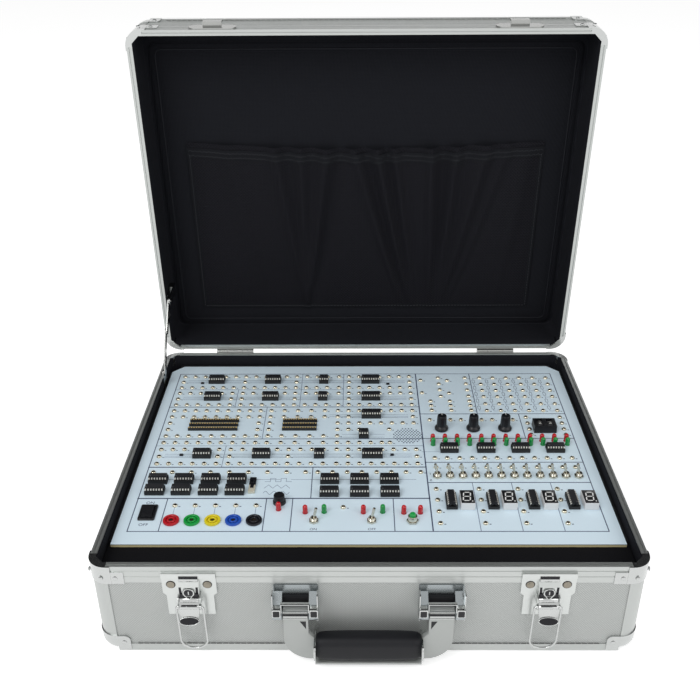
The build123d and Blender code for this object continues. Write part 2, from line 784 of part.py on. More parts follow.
# ------------------------------------------------------------------ latches
def latch_plate(at):
    """The pressed plate of a latch with its lip, lock housing, ears and hinge pin."""
    with BuildSketch(front_of(base_front, at)) as plate:
        with BuildLine():
            half, narrow = latch_plate_width / 2, latch_plate_narrow / 2
            shoulder = latch_plate_waist + (half - narrow)
            Polyline(
                (-narrow, latch_plate_foot),
                (narrow, latch_plate_foot),
                (narrow, latch_plate_waist),
                (half, shoulder),
                (half, latch_plate_top),
                (-half, latch_plate_top),
                (-half, shoulder),
                (-narrow, latch_plate_waist),
                close=True,
            )
        make_face()
    extrude(plate.sketch, amount=latch_plate_thickness)
    extrude(plate.sketch, amount=-profile_thickness)
    with BuildSketch(inward(base_front, at)) as skirt:
        with Locations((0, base_rim)):
            Rectangle(profile_thickness, rim_depth, align=(MIN, MAX))
    extrude(skirt.sketch, amount=latch_plate_width, both=True, mode=Mode.SUBTRACT)
    with BuildSketch(outward(base_front, at)) as lip:
        with Locations((0, latch_plate_top)):
            Rectangle(latch_lip_thickness, latch_lip_height, align=(MIN, MAX))
    extrude(lip.sketch, amount=latch_plate_width / 2, both=True)
    with BuildSketch(outward(base_front, at)) as housing:
        with BuildLine():
            Polyline(
                (0, latch_housing_bottom),
                (latch_housing_depth - 1.5, latch_housing_bottom),
                (latch_housing_depth, latch_housing_bottom + 2),
                (latch_housing_depth, latch_housing_top - latch_housing_depth),
                (latch_plate_thickness, latch_housing_top),
                (0, latch_housing_top),
                close=True,
            )
        make_face()
    extrude(housing.sketch, amount=latch_housing_width / 2, both=True)
    with BuildSketch(moved(front_of(base_front, at), z=latch_housing_depth)) as lock:
        with Locations((0, lock_height)):
            Circle(lock_radius)
    extrude(lock.sketch, amount=lock_proud)
    for side in (-1, 1):
        ear_at = at + side * (lever_width / 2 + side_clearance + lever_ear_thickness / 2)
        with BuildSketch(outward(base_front, ear_at)) as ear:
            with Locations((lever_hinge_proud, lever_hinge_height)):
                Circle(lever_barrel_radius + 0.6)
            with Locations((0, lever_hinge_height)):
                Rectangle(latch_plate_thickness, 4 * lever_barrel_radius, align=(MIN, MID))
            make_hull()
        extrude(ear.sketch, amount=lever_ear_thickness / 2, both=True)
    with BuildSketch(outward(base_front, at)) as pin:
        with Locations((lever_hinge_proud, lever_hinge_height)):
            Circle(lever_pin_radius)
    extrude(pin.sketch, amount=lever_width / 2 + side_clearance + lever_ear_thickness, both=True)


def latch_lever(at):
    """The short thumb lever, hinged in the plate's ears, with a boss for the bail."""
    with BuildSketch(outward(base_front, at)) as body:
        with Locations((lever_hinge_proud, lever_hinge_height)):
            Circle(lever_barrel_radius)
        with Locations((lever_boss_proud, lever_boss_height)):
            Circle(lever_boss_radius)
        make_hull()
    extrude(body.sketch, amount=lever_width / 2, both=True)
    with BuildSketch(outward(base_front, at)) as blade:
        with Locations((lever_boss_proud + lever_boss_radius - lever_blade_radius, lever_boss_height)):
            Circle(lever_blade_radius)
        with Locations((lever_tip_proud, lever_tip_height)):
            Circle(lever_blade_radius)
        make_hull()
    extrude(blade.sketch, amount=lever_width / 2, both=True)
    with BuildSketch(front_of(base_front, at)) as thumb:
        with Locations((0, lever_hinge_height + 2 * lever_barrel_radius)):
            Rectangle(2 * lever_width, 4 * lever_width, align=(MID, MAX))
        with Locations((0, lever_tip_height + lever_width - 2 * lever_blade_radius)):
            Circle(lever_width, mode=Mode.INTERSECT)
    trimmed = extrude(thumb.sketch, amount=2 * lever_tip_proud, both=True, mode=Mode.PRIVATE)
    add(trimmed, mode=Mode.INTERSECT)
    with BuildSketch(outward(base_front, at)) as bores:
        with Locations((lever_hinge_proud, lever_hinge_height)):
            Circle(lever_pin_radius + fit_clearance)
    extrude(bores.sketch, amount=lever_width, both=True, mode=Mode.SUBTRACT)
    with BuildSketch(outward(base_front, at)) as pivot:
        with Locations((lever_boss_proud, lever_boss_height)):
            Circle(bail_wire_radius + fit_clearance)
    extrude(pivot.sketch, amount=lever_width, both=True, mode=Mode.SUBTRACT)


def latch_bail(at):
    """The bent wire loop that reaches up to the catch on the lid."""
    pivot = moved(front_of(base_front, at), y=lever_boss_height, z=lever_boss_proud)
    hanging = Plane(pivot.location * Location((0, 0, 0), (bail_tilt, 0, 0)))
    leg = bail_width / 2
    end = leg - bail_pin_length
    with BuildLine(hanging) as wire:
        FilletPolyline(
            (-end, 0),
            (-leg, 0),
            (-leg, -bail_length),
            (leg, -bail_length),
            (leg, 0),
            (end, 0),
            radius=[1.5 * bail_wire_radius, bail_corner_radius, bail_corner_radius, 1.5 * bail_wire_radius],
        )
    with BuildSketch(Plane(wire.wire() @ 0, z_dir=wire.wire() % 0)) as wire_section:
        RegularPolygon(bail_wire_radius, small_sides)
    sweep(wire_section.sketch, path=wire.wire())


def lid_catch(at):
    """The catch on the lid's rim that the bail hooks over."""
    with BuildSketch(moved(front_of(lid_front, at), y=lid_rim - 1 - catch_height / 2)) as plate:
        SlotOverall(catch_width, catch_height)
    extrude(plate.sketch, amount=catch_thickness)
    with BuildSketch(outward(lid_front, at)) as hook:
        throat_floor = lid_rim - 1 - catch_height / 2
        with Locations((0, throat_floor)):
            Rectangle(catch_hook_proud, catch_hook_lip, align=(MIN, MIN))
        with Locations((catch_hook_proud, throat_floor + catch_hook_lip)):
            Rectangle(catch_hook_proud - catch_thickness - catch_throat, catch_height / 2, align=(MAX, MAX))
    extrude(hook.sketch, amount=catch_hook_width / 2, both=True)


latch_places = {"left": -latch_spacing / 2, "right": latch_spacing / 2}
with BuildPart() as latch_plates:
    for place in latch_places.values():
        latch_plate(place)
write(latch_plates.part, "latch_plates")

with BuildPart() as lid_catches:
    for place in latch_places.values():
        lid_catch(place)
write(lid_catches.part, "lid_catches")

for name, place in latch_places.items():
    with BuildPart() as lever:
        latch_lever(place)
    write(lever.part, f"latch_lever_{name}")
    with BuildPart() as bail:
        latch_bail(place)
    write(bail.part, f"latch_bail_{name}")


# ------------------------------------------------------------------ carrying handle
knuckle_width = (bracket_width - bracket_window_width) / 2 - side_clearance
arm_width = bracket_window_width - side_clearance


def handle_bracket(at):
    """A pressed bracket with a window between its two knuckles, and the pin through them."""
    with BuildSketch(front_of(base_front, at)) as plate:
        with Locations((0, bracket_bottom)):
            Rectangle(bracket_width, bracket_top - bracket_bottom, align=(MID, MIN))
        fillet(plate.vertices(), 2)
        with Locations((0, bracket_window_bottom)):
            Rectangle(
                bracket_window_width,
                bracket_window_top - bracket_window_bottom,
                align=(MID, MIN),
                mode=Mode.SUBTRACT,
            )
    extrude(plate.sketch, amount=bracket_thickness)
    extrude(plate.sketch, amount=-profile_thickness)
    for side in (-1, 1):
        knuckle_at = at + side * (bracket_width - knuckle_width) / 2
        with BuildSketch(outward(base_front, knuckle_at)) as knuckle:
            with Locations((handle_pin_proud, handle_pin_height)):
                Circle(bracket_knuckle_radius)
            with Locations((0, handle_pin_height + bracket_knuckle_radius)):
                Rectangle(bracket_thickness, 3 * bracket_knuckle_radius, align=(MIN, MID))
            make_hull()
        extrude(knuckle.sketch, amount=knuckle_width / 2, both=True)
    with BuildSketch(outward(base_front, at)) as pin:
        with Locations((handle_pin_proud, handle_pin_height)):
            Circle(handle_pin_radius)
    extrude(pin.sketch, amount=bracket_width / 2 - 1, both=True)


def handle_arm(side):
    """A flat cast arm, swept inwards in a quarter round under the grip's end."""
    at = side * handle_spacing / 2
    outer = handle_spacing / 2 + arm_width / 2
    inner = handle_spacing / 2 - arm_width / 2
    grip_end = grip_length / 2
    bottom = grip_bottom - carrier_thickness
    with BuildSketch(moved(front_of(base_front), z=arm_inner_proud)) as arm:
        with BuildLine():
            Polyline(
                (side * outer, bottom + arm_sweep_radius),
                (side * outer, handle_pin_height),
                (side * inner, handle_pin_height),
                (side * inner, grip_bottom + grip_height),
                (side * grip_end, grip_bottom + grip_height - 4),
                (side * grip_end, bottom),
                (side * (outer - arm_sweep_radius), bottom),
            )
            RadiusArc(
                (side * outer, bottom + arm_sweep_radius),
                (side * (outer - arm_sweep_radius), bottom),
                side * arm_sweep_radius,
            )
        make_face()
    extrude(arm.sketch, amount=arm_thickness)
    with BuildSketch(outward(base_front, at)) as barrel:
        with Locations((handle_pin_proud, handle_pin_height)):
            Circle(arm_barrel_radius)
    extrude(barrel.sketch, amount=arm_width / 2, both=True)
    with BuildSketch(outward(base_front, at)) as bore:
        with Locations((handle_pin_proud, handle_pin_height)):
            Circle(handle_pin_radius + fit_clearance)
    extrude(bore.sketch, amount=arm_width, both=True, mode=Mode.SUBTRACT)


with BuildPart() as handle_brackets:
    for place in (-handle_spacing / 2, handle_spacing / 2):
        handle_bracket(place)
write(handle_brackets.part, "handle_brackets")

grip_centre_proud = arm_inner_proud + arm_thickness / 2 + 2
with BuildPart() as handle_frame:
    handle_arm(-1)
    handle_arm(1)
    with BuildSketch(outward(base_front)) as carrier:
        with Locations((grip_centre_proud, grip_bottom)):
            Rectangle(carrier_depth, carrier_thickness, align=(MID, MAX))
    extrude(amount=grip_length / 2 + 1, both=True)
write(handle_frame.part, "handle_frame")

with BuildPart() as handle_grip:
    with BuildSketch(outward(base_front)) as grip_section:
        with Locations((grip_centre_proud, grip_bottom + grip_height / 2)):
            RectangleRounded(grip_depth, grip_height, grip_rounding)
    extrude(amount=grip_length / 2, both=True)
write(handle_grip.part, "handle_grip")

# ------------------------------------------------------------------ circuit board and its supports
toggle_places = [(column_left + column_pitch * k, toggle_row) for k in range(column_count)]
banana_places = [(banana_left + banana_pitch * k, banana_row) for k in range(banana_count)]
pot_places = [(x, pot_row) for x in pot_columns]

with BuildPart() as circuit_board:
    with BuildSketch(under_board) as outline:
        Rectangle(board_width, board_depth, align=(MID, MIN))
        chamfer(outline.vertices().group_by(Axis.Y)[-1], board_chamfer)
        with Locations(*banana_places):
            RegularPolygon(banana_barrel_radius, small_sides, mode=Mode.SUBTRACT)
        with Locations(fuse_place):
            RegularPolygon(fuse_barrel_radius, small_sides, mode=Mode.SUBTRACT)
        with Locations(button_place):
            RegularPolygon(button_bezel_radius, round_sides, mode=Mode.SUBTRACT)
        with Locations(rocker_place):
            Rectangle(
                rocker_frame_width - 2 * rocker_body_inset,
                rocker_frame_depth - 2 * rocker_body_inset,
                mode=Mode.SUBTRACT,
            )
        with Locations(bcd_place):
            Rectangle(bcd_width - 2 * bcd_body_inset, bcd_depth - 2 * bcd_body_inset, mode=Mode.SUBTRACT)
    extrude(amount=board_thickness)
write(circuit_board.part, "circuit_board")

board_rear = board_front + board_depth
rear_inner = case_depth / 2 - wall
filler_rear = board_front + filler_lap
batten_top = board_top - board_thickness
filler_top = batten_top - side_clearance
with BuildPart() as board_battens:
    with BuildSketch(moved(base, z=wall)) as filler:
        RectangleRounded(case_width - 2 * wall, case_depth - 2 * wall, corner_radius - wall)
        with Locations((0, -case_depth / 2 + wall)):
            Rectangle(case_width, filler_depth + filler_lap, align=(MID, MIN), mode=Mode.INTERSECT)
    extrude(amount=filler_top - wall)
    with BuildSketch(Plane.XY.offset(batten_top - batten_height)):
        rear_batten = rear_inner - board_rear + batten_width / 2
        with Locations((0, rear_inner)):
            Rectangle(case_width - 2 * corner_radius, rear_batten, align=(MID, MAX))
        side_run = rear_inner - rear_batten - filler_rear - 2 * side_clearance
        for side in (-1, 1):
            with Locations((side * (case_width / 2 - wall - batten_width / 2), filler_rear + side_clearance)):
                Rectangle(batten_width, side_run, align=(MID, MIN))
    extrude(amount=batten_height)
write(board_battens.part, "board_battens")

# ------------------------------------------------------------------ terminals
grid = [grid_left + grid_pitch * i for i in range(grid_columns)]
side_grid = [side_grid_left + side_grid_pitch * i for i in range(side_grid_columns)]
inner = [inner_left + inner_pitch * i for i in range(4)]


def picked(columns, *indices):
    return [columns[i] for i in indices]


columns_of_row = {
    0: grid + side_grid,
    1: picked(grid, 0, 6, 11) + picked(side_grid, 1, 7),
    2: grid + side_grid,
    3: grid + side_grid,
    4: picked(grid, 0, 5, 6, 11) + picked(side_grid, 1, 7),
    5: grid + side_grid,
    6: grid[:10] + inner + side_grid,
    7: grid[:10] + inner + picked(side_grid, 0, 1, 7),
    8: picked(grid, 0, 8, 9) + side_grid,
    9: picked(grid, 0, 8, 9) + side_grid[:3] + [edge_column],
    10: grid[:10] + inner + side_grid[:1],
    11: grid[:10] + inner + side_grid[:5] + [edge_column],
    12: grid + side_grid,
    13: picked(grid, 0, 5, 6, 11) + picked(side_grid, 1, 7),
    14: grid + side_grid,
}
row_heights = [grid_rear - grid_row_pitch * row for row in range(len(columns_of_row))]
terminal_places = [(x, row_heights[row]) for row, columns in columns_of_row.items() for x in columns]


def in_line(left, pitch, count, row):
    return [(left + pitch * k, row) for k in range(count)]


terminal_places += in_line(-204.0, 18.2, 9, 101.7)
terminal_places += in_line(-46.8, 14.03, 8, 101.7)
terminal_places += in_line(-174.3, 18.4, banana_count, 51.7)
terminal_places += [(-21.8, 49.2)]
terminal_places += [(61.8, y) for y in (272.7, 245.7)]
terminal_places += [(91.4, y) for y in (271.7, 245.0)]
terminal_places += [(81.7, y) for y in (277.7, 264.5, 252.0, 238.5)]
terminal_places += [(111.8, y) for y in (277.7, 264.7, 251.5, 238.7)]
terminal_places += [(x, y) for x in (69.9, 90.7, 111.8) for y in (228.7, 219.7, 210.5)]
terminal_places += [(parts_left + parts_pitch * k, y) for k in range(6) for y in parts_rows]
terminal_places += [(x + side * pot_lead_spread, pot_lead_row) for x in pot_columns for side in (-1, 1)]
terminal_places += [(x, y) for x in (167.1, 202.5) for y in (196.7, 185.7, 174.7, 164.7)]
terminal_places += in_line(column_left, column_pitch, column_count, 124.5)
terminal_places += in_line(column_left, column_pitch, column_count, 109.5)
terminal_places += [(x, y) for x in code_columns for y in code_rows]

with BuildPart() as terminals:
    with BuildSketch(board):
        with Locations(*terminal_places):
            RegularPolygon(terminal_radius, terminal_sides)
    extrude(amount=terminal_height)
write(terminals.part, "terminals")

# ------------------------------------------------------------------ chips and their sockets
chip_lift = 2.0  # of a chip's centre behind its row of terminals
chips_in_place = [(-166.2, row, 14) for row in (1, 4)] + [(-161.5, 13, 14)]
chips_in_place += [(-103.3, row, 14) for row in (1, 4, 13)]
chips_in_place += [(-46.5, row, 8) for row in (1, 4, 13)]
chips_in_place += [(5.6, row, 16) for row in (1, 4, 7, 13)]
dips = [(x, row_heights[row] + chip_lift, pins, 0) for x, row, pins in chips_in_place]
dips += [(x, y, 14, 0) for x in (-196.4, -172.0, -147.0, -122.4) for y in (88.3, 71.7)]
dips += [(x, y, 14, 0) for x in (-35.0, -7.0, 21.0) for y in (88.3, 69.2)]
dips += [(x, 138.3, 14, 0) for x in (81.7, 117.9, 152.0, 186.2)]
dips += [(x, decoder_row, 16, 90) for x in decoder_columns]
dips += [(-2.6, 163.7, 8, 0)]


def chip_length(pins):
    return pins / 2 * pin_pitch


with BuildPart() as chip_sockets:
    with BuildSketch(board):
        for x, y, pins, turn in dips:
            with Locations(Location((x, y, 0), (0, 0, turn))):
                Rectangle(chip_length(pins), socket_depth)
    extrude(amount=socket_height)
    with BuildSketch(board):
        for start, count in header_starts:
            for row in range(3):
                with Locations((start, header_rear - header_row_pitch * row)):
                    Rectangle(count * pin_pitch, header_width, align=(MIN, MID))
    extrude(amount=header_height)
write(chip_sockets.part, "chip_sockets")

with BuildPart() as chips:
    with BuildSketch(moved(board, z=socket_height)):
        for x, y, pins, turn in dips:
            with Locations(Location((x, y, 0), (0, 0, turn))):
                Rectangle(chip_length(pins), chip_depth)
    extrude(amount=chip_height)
write(chips.part, "chips")

# ------------------------------------------------------------------ lamps and displays
red_places = in_line(column_left, column_pitch, column_count, red_row)
red_places += [(-80.0, 46.3), (-55.8, 42.1), (-3.75, 42.1), (32.4, 41.7), (47.2, 41.7)]
green_places = in_line(column_left, column_pitch, column_count, green_row)
green_places += [(-38.9, 42.8), (13.6, 42.8)]


def lamps(places):
    """Small lamps standing on the board."""
    with BuildSketch(board) as stems:
        with Locations(*places):
            RegularPolygon(led_radius, small_sides)
    extrude(stems.sketch, amount=led_height)


for name, places in (("leds_red", red_places), ("leds_green", green_places)):
    with BuildPart() as colour:
        lamps(places)
    write(colour.part, name)

with BuildPart() as digit_displays:
    with BuildSketch(board):
        with Locations(*[(x, display_row) for x in display_columns]):
            Rectangle(display_width, display_depth)
    extrude(amount=display_height)
write(digit_displays.part, "digit_displays")

# ------------------------------------------------------------------ sockets, fuse, speaker
with BuildPart() as banana_sockets:
    with BuildSketch(board):
        with Locations(*banana_places):
            RegularPolygon(banana_flange_radius, 2 * small_sides)
    extrude(amount=banana_flange_height)
    with BuildSketch(moved(board, z=banana_flange_height)):
        with Locations(*banana_places):
            RegularPolygon(banana_flange_radius - banana_ring_width, 2 * small_sides)
            RegularPolygon(banana_tube_radius, small_sides, mode=Mode.SUBTRACT)
    extrude(amount=-banana_recess_depth, mode=Mode.SUBTRACT)
    with BuildSketch(board):
        with Locations(*banana_places):
            RegularPolygon(banana_barrel_radius, small_sides)
    extrude(amount=-banana_barrel_length)
    with BuildSketch(moved(board, z=banana_flange_height)):
        with Locations(*banana_places):
            RegularPolygon(banana_bore_radius, small_sides, major_radius=False)
    extrude(amount=-banana_barrel_length, mode=Mode.SUBTRACT)
write(banana_sockets.part, "banana_sockets")

with BuildPart() as fuse_holder:
    with BuildSketch(board):
        with Locations(fuse_place):
            RegularPolygon(fuse_collar_radius, round_sides)
    extrude(amount=fuse_collar_height)
    with BuildSketch(board):
        with Locations(fuse_place):
            RegularPolygon(fuse_cap_radius, round_sides)
    extrude(amount=fuse_cap_height)
    with BuildSketch(board):
        with Locations(fuse_place):
            RegularPolygon(fuse_barrel_radius, small_sides)
    extrude(amount=-fuse_barrel_length)
    with BuildSketch(moved(board, z=fuse_cap_height)):
        with Locations(fuse_place):
            Rectangle(2 * fuse_cap_radius, fuse_slot_width)
    extrude(amount=-fuse_slot_width, mode=Mode.SUBTRACT)
write(fuse_holder.part, "fuse_holder")

with BuildPart() as speaker:
    with BuildSketch(under_board):
        with Locations(speaker_place):
            Circle(speaker_radius)
    extrude(amount=-speaker_flange)
    with BuildSketch(under_board):
        with Locations(speaker_place):
            Circle(speaker_magnet_radius)
    extrude(amount=-speaker_depth)
write(speaker.part, "speaker")


# ------------------------------------------------------------------ switches
def toggle_mount(place):
    """A hexagon nut and a bush, with the slot that holds the lever's flat root."""
    at = moved(board, x=place[0], y=place[1])
    with BuildSketch(at) as nut:
        RegularPolygon(toggle_nut_radius, 6)
    extrude(nut.sketch, amount=toggle_nut_height)
    with BuildSketch(at) as bush:
        RegularPolygon(toggle_bush_radius, small_sides)
    extrude(bush.sketch, amount=toggle_bush_height)
    with BuildSketch(moved(at, z=toggle_bush_height)) as slot:
        Rectangle(toggle_slot_length, toggle_root_width)
    slot_depth = toggle_bush_height - toggle_pivot_height + toggle_tail + side_clearance
    extrude(slot.sketch, amount=-slot_depth, mode=Mode.SUBTRACT)


def toggle_lever(place, lean):
    """A lever that widens from its neck to its tip, leaning over about its flat root's round end."""
    pivot = moved(board, x=place[0], y=place[1], z=toggle_pivot_height)
    leaning = Plane(pivot.location * Location((0, 0, 0), (0, lean, 0)))
    with BuildSketch(Plane(pivot.origin, x_dir=(1, 0, 0), z_dir=(0, -1, 0))) as root_end:
        Circle(toggle_tail)
    extrude(root_end.sketch, amount=toggle_root_width / 2, both=True)
    with BuildSketch(leaning) as root:
        Rectangle(toggle_root_thickness, toggle_root_width)
    extrude(root.sketch, amount=toggle_root_rise)
    with BuildSketch(moved(leaning, z=toggle_root_rise)) as neck:
        RegularPolygon(toggle_neck_radius, small_sides)
    with BuildSketch(moved(leaning, z=toggle_length)) as tip:
        RegularPolygon(toggle_tip_radius, small_sides)
    loft([neck.sketch.face(), tip.sketch.face()], ruled=True)


rocker_slot_width = rocker_width + 2 * side_clearance
rocker_slot_depth = 2 * (rocker_radius + side_clearance)
rocker_at = moved(board, x=rocker_place[0], y=rocker_place[1])
rocker_pivot = moved(rocker_at, z=-rocker_pivot_depth)


def rocker_mount():
    """The rocker switch's frame, its body below the board and the pocket for the rocker."""
    with BuildSketch(rocker_at) as flange:
        Rectangle(rocker_frame_width, rocker_frame_depth)
    extrude(flange.sketch, amount=rocker_frame_height)
    with BuildSketch(rocker_at) as body:
        Rectangle(rocker_frame_width - 2 * rocker_body_inset, rocker_frame_depth - 2 * rocker_body_inset)
    extrude(body.sketch, amount=-rocker_body_depth)
    with BuildSketch(moved(rocker_at, z=rocker_frame_height)) as pocket:
        Rectangle(rocker_slot_width, rocker_slot_depth)
    pocket_depth = rocker_frame_height + rocker_pivot_depth + 2 * rocker_floor
    extrude(pocket.sketch, amount=-pocket_depth, mode=Mode.SUBTRACT)
    across = Plane(rocker_pivot.origin, x_dir=(0, 1, 0), z_dir=(1, 0, 0))
    with BuildSketch(across) as bore:
        Circle(rocker_pin_radius + fit_clearance)
    reach = rocker_width / 2 + rocker_pin_length + fit_clearance
    extrude(bore.sketch, amount=reach, both=True, mode=Mode.SUBTRACT)


def pot_mount(place):
    """The nut and bush of a potentiometer, bored for its shaft."""
    at = moved(board, x=place[0], y=place[1])
    with BuildSketch(at) as nut:
        RegularPolygon(pot_nut_radius, 6)
    extrude(nut.sketch, amount=pot_nut_height)
    with BuildSketch(at) as bush:
        RegularPolygon(pot_bush_radius, small_sides)
    extrude(bush.sketch, amount=pot_bush_height)
    with BuildSketch(moved(at, z=pot_bush_height)) as bore:
        Circle(pot_shaft_radius + fit_clearance)
    extrude(bore.sketch, amount=-pot_bush_height, mode=Mode.SUBTRACT)


def button_mount():
    """The push button's nut, bezel and body, bored for its cap."""
    at = moved(board, x=button_place[0], y=button_place[1])
    with BuildSketch(at) as nut:
        RegularPolygon(button_nut_radius, round_sides)
    extrude(nut.sketch, amount=button_nut_height)
    with BuildSketch(at) as bezel:
        RegularPolygon(button_bezel_radius, round_sides)
    extrude(bezel.sketch, amount=button_bezel_height)
    extrude(bezel.sketch, amount=-button_body_depth)
    with BuildSketch(moved(at, z=button_bezel_height)) as bore:
        Circle(button_cap_radius + fit_clearance)
    extrude(bore.sketch, amount=-button_bezel_height - side_clearance, mode=Mode.SUBTRACT)


def slide_mount():
    """The slide switch's frame with the slot that its knob runs in."""
    at = moved(board, x=slide_place[0], y=slide_place[1])
    with BuildSketch(at) as frame:
        Rectangle(slide_width, slide_depth)
    extrude(frame.sketch, amount=slide_height)
    with BuildSketch(moved(at, z=slide_height)) as slot:
        Rectangle(slide_slot_width, slide_slot_depth)
    extrude(slot.sketch, amount=-slide_height / 2, mode=Mode.SUBTRACT)


with BuildPart() as switch_bodies:
    for place in toggle_places + list(source_toggle_places):
        toggle_mount(place)
    rocker_mount()
    for place in pot_places:
        pot_mount(place)
    button_mount()
    slide_mount()
write(switch_bodies.part, "switch_bodies")

for number, place in enumerate(toggle_places, 1):
    with BuildPart() as toggle:
        toggle_lever(place, -toggle_lean)
    write(toggle.part, f"logic_toggle_{number:02d}")
for name, place in zip(("left", "right"), source_toggle_places):
    with BuildPart() as toggle:
        toggle_lever(place, toggle_lean)
    write(toggle.part, f"source_toggle_{name}")

# The rocker's ends are round about its pivot, and its two faces meet in a dip.
rocker_tilted = Plane(
    (rocker_pivot.location * Location((0, 0, 0), (rocker_lean, 0, 0))).position,
    x_dir=(0, cos(radians(rocker_lean)), sin(radians(rocker_lean))),
    z_dir=(1, 0, 0),
)
with BuildPart() as power_rocker:
    with BuildSketch(rocker_tilted) as side_view:
        Circle(rocker_radius)
        rise = 2 * rocker_radius * tan(radians(rocker_lean))
        with BuildLine():
            Polyline(
                (0, rocker_middle),
                (2 * rocker_radius, rocker_middle + rise),
                (2 * rocker_radius, 3 * rocker_radius),
                (-2 * rocker_radius, 3 * rocker_radius),
                (-2 * rocker_radius, rocker_middle + rise),
                close=True,
            )
        make_face(mode=Mode.SUBTRACT)
        with Locations((0, -rocker_floor)):
            Rectangle(4 * rocker_radius, 2 * rocker_radius, align=(MID, MAX), mode=Mode.SUBTRACT)
    extrude(amount=rocker_width / 2, both=True)
    with BuildSketch(rocker_tilted) as rocker_pins:
        Circle(rocker_pin_radius)
    extrude(amount=rocker_width / 2 + rocker_pin_length, both=True)
write(power_rocker.part, "power_rocker")


def pot_knob(place):
    """A skirted, fluted knob on its shaft, hollow below to clear the pot's nut."""
    at = moved(board, x=place[0], y=place[1])
    with BuildSketch(moved(at, z=knob_lift)) as rim:
        RegularPolygon(knob_skirt_radius, 2 * knob_flutes)
    extrude(rim.sketch, amount=knob_skirt_edge)
    layers = (
        (knob_lift + knob_skirt_edge, knob_skirt_radius),
        (knob_skirt_top, knob_body_radius),
        (knob_lift + knob_height, knob_crown_radius),
    )
    outlines = []
    for height, radius in layers:
        with BuildSketch(moved(at, z=height)) as outline:
            RegularPolygon(radius, knob_flutes)
        outlines.append(outline.sketch.face())
    loft(outlines, ruled=True)
    with BuildSketch(moved(at, z=knob_lift)) as recess:
        RegularPolygon(knob_recess_radius, knob_flutes)
    extrude(recess.sketch, amount=knob_recess_height, mode=Mode.SUBTRACT)
    with BuildSketch(moved(at, z=pot_nut_height / 2)) as shaft:
        Circle(pot_shaft_radius)
    extrude(shaft.sketch, amount=knob_lift + knob_height / 2)


for number, place in enumerate(pot_places, 1):
    with BuildPart() as knob:
        pot_knob(place)
    write(knob.part, f"knob_{number}")

with BuildPart() as pulse_button:
    cap_foot = button_travel
    with BuildSketch(moved(board, x=button_place[0], y=button_place[1], z=cap_foot)):
        Circle(button_cap_radius)
    extrude(amount=button_cap_top - cap_foot)
write(pulse_button.part, "pulse_button")

with BuildPart() as slide_knob:
    knob_foot = slide_height / 2
    knob_y = slide_place[1] + slide_knob_offset
    with BuildSketch(moved(board, x=slide_place[0], y=knob_y, z=knob_foot)):
        Rectangle(slide_slot_width - side_clearance, slide_knob_depth)
    extrude(amount=slide_knob_height - knob_foot)
write(slide_knob.part, "slide_knob")

# ------------------------------------------------------------------ two-digit thumbwheel switch
bcd_at = moved(board, x=bcd_place[0], y=bcd_place[1])
wheel_offsets = {"left": -bcd_wheel_spacing / 2, "right": bcd_wheel_spacing / 2}
wheel_slot_width = bcd_wheel_width + 2 * side_clearance
wheel_slot_reach = bcd_wheel_radius + side_clearance


def across_bcd(x):
    """A plane across the switch's axle, x from its middle."""
    return Plane(moved(bcd_at, x=x, z=bcd_axle_height).origin, x_dir=(0, 1, 0), z_dir=(1, 0, 0))


with BuildPart() as bcd_housing:
    with BuildSketch(bcd_at):
        Rectangle(bcd_width, bcd_depth)
    extrude(amount=bcd_height)
    with BuildSketch(bcd_at):
        Rectangle(bcd_width - 2 * bcd_body_inset, bcd_depth - 2 * bcd_body_inset)
    extrude(amount=-bcd_body_depth)
    for offset in wheel_offsets.values():
        with BuildSketch(moved(bcd_at, x=offset, z=bcd_axle_height - wheel_slot_reach)):
            Rectangle(wheel_slot_width, 2 * wheel_slot_reach)
        extrude(amount=bcd_height + wheel_slot_reach, mode=Mode.SUBTRACT)
    with BuildSketch(across_bcd(0)):
        Circle(bcd_axle_radius)
    extrude(amount=bcd_width / 2 - bcd_body_inset - bcd_wall, both=True)
write(bcd_housing.part, "bcd_housing")

for name, offset in wheel_offsets.items():
    with BuildPart() as wheel:
        with BuildSketch(across_bcd(offset)):
            RegularPolygon(bcd_wheel_radius, 10)
            Circle(bcd_axle_radius + fit_clearance, mode=Mode.SUBTRACT)
        extrude(amount=bcd_wheel_width / 2, both=True)
    write(wheel.part, f"bcd_wheel_{name}")

# ------------------------------------------------------------------ power supply and mains inlet
supply_y = rear_inner - supply_rear_gap - supply_depth / 2
with BuildPart() as supply_module:
    with BuildSketch(Plane((inlet_from_centre, supply_y, wall))):
        Rectangle(supply_width + 2 * supply_foot, supply_depth)
    extrude(amount=supply_plate)
    with BuildSketch(Plane((inlet_from_centre, supply_y, wall))):
        Rectangle(supply_width, supply_depth - 2 * supply_plate)
    extrude(amount=supply_height)
    chamfer(supply_module.faces().sort_by(Axis.Z)[-1].edges().filter_by(Axis.Y), supply_foot / 2)

with BuildPart() as mains_inlet:
    inlet = moved(front_of(base_rear, -inlet_from_centre), y=inlet_height)
    with BuildSketch(moved(inlet, z=-profile_thickness)):
        RectangleRounded(inlet_flange_width, inlet_flange_height, 3)
    extrude(amount=profile_thickness + inlet_flange_proud)
    with BuildSketch(moved(inlet, z=-profile_thickness)):
        Rectangle(inlet_body_width, inlet_body_height)
    extrude(amount=-inlet_body_depth)
    with BuildSketch(moved(inlet, z=inlet_flange_proud)) as recess:
        Rectangle(inlet_recess_width, inlet_recess_height)
        chamfer(recess.vertices().group_by(Axis.Y)[-1], inlet_key_chamfer)
    extrude(amount=-inlet_recess_depth, mode=Mode.SUBTRACT)
    with BuildSketch(moved(inlet, z=inlet_flange_proud - inlet_recess_depth)):
        with Locations((0, 2), (-7, -2), (7, -2)):
            Rectangle(2, 4)
    extrude(amount=inlet_blade_length)
group("power_supply", [supply_module.part, mains_inlet.part])

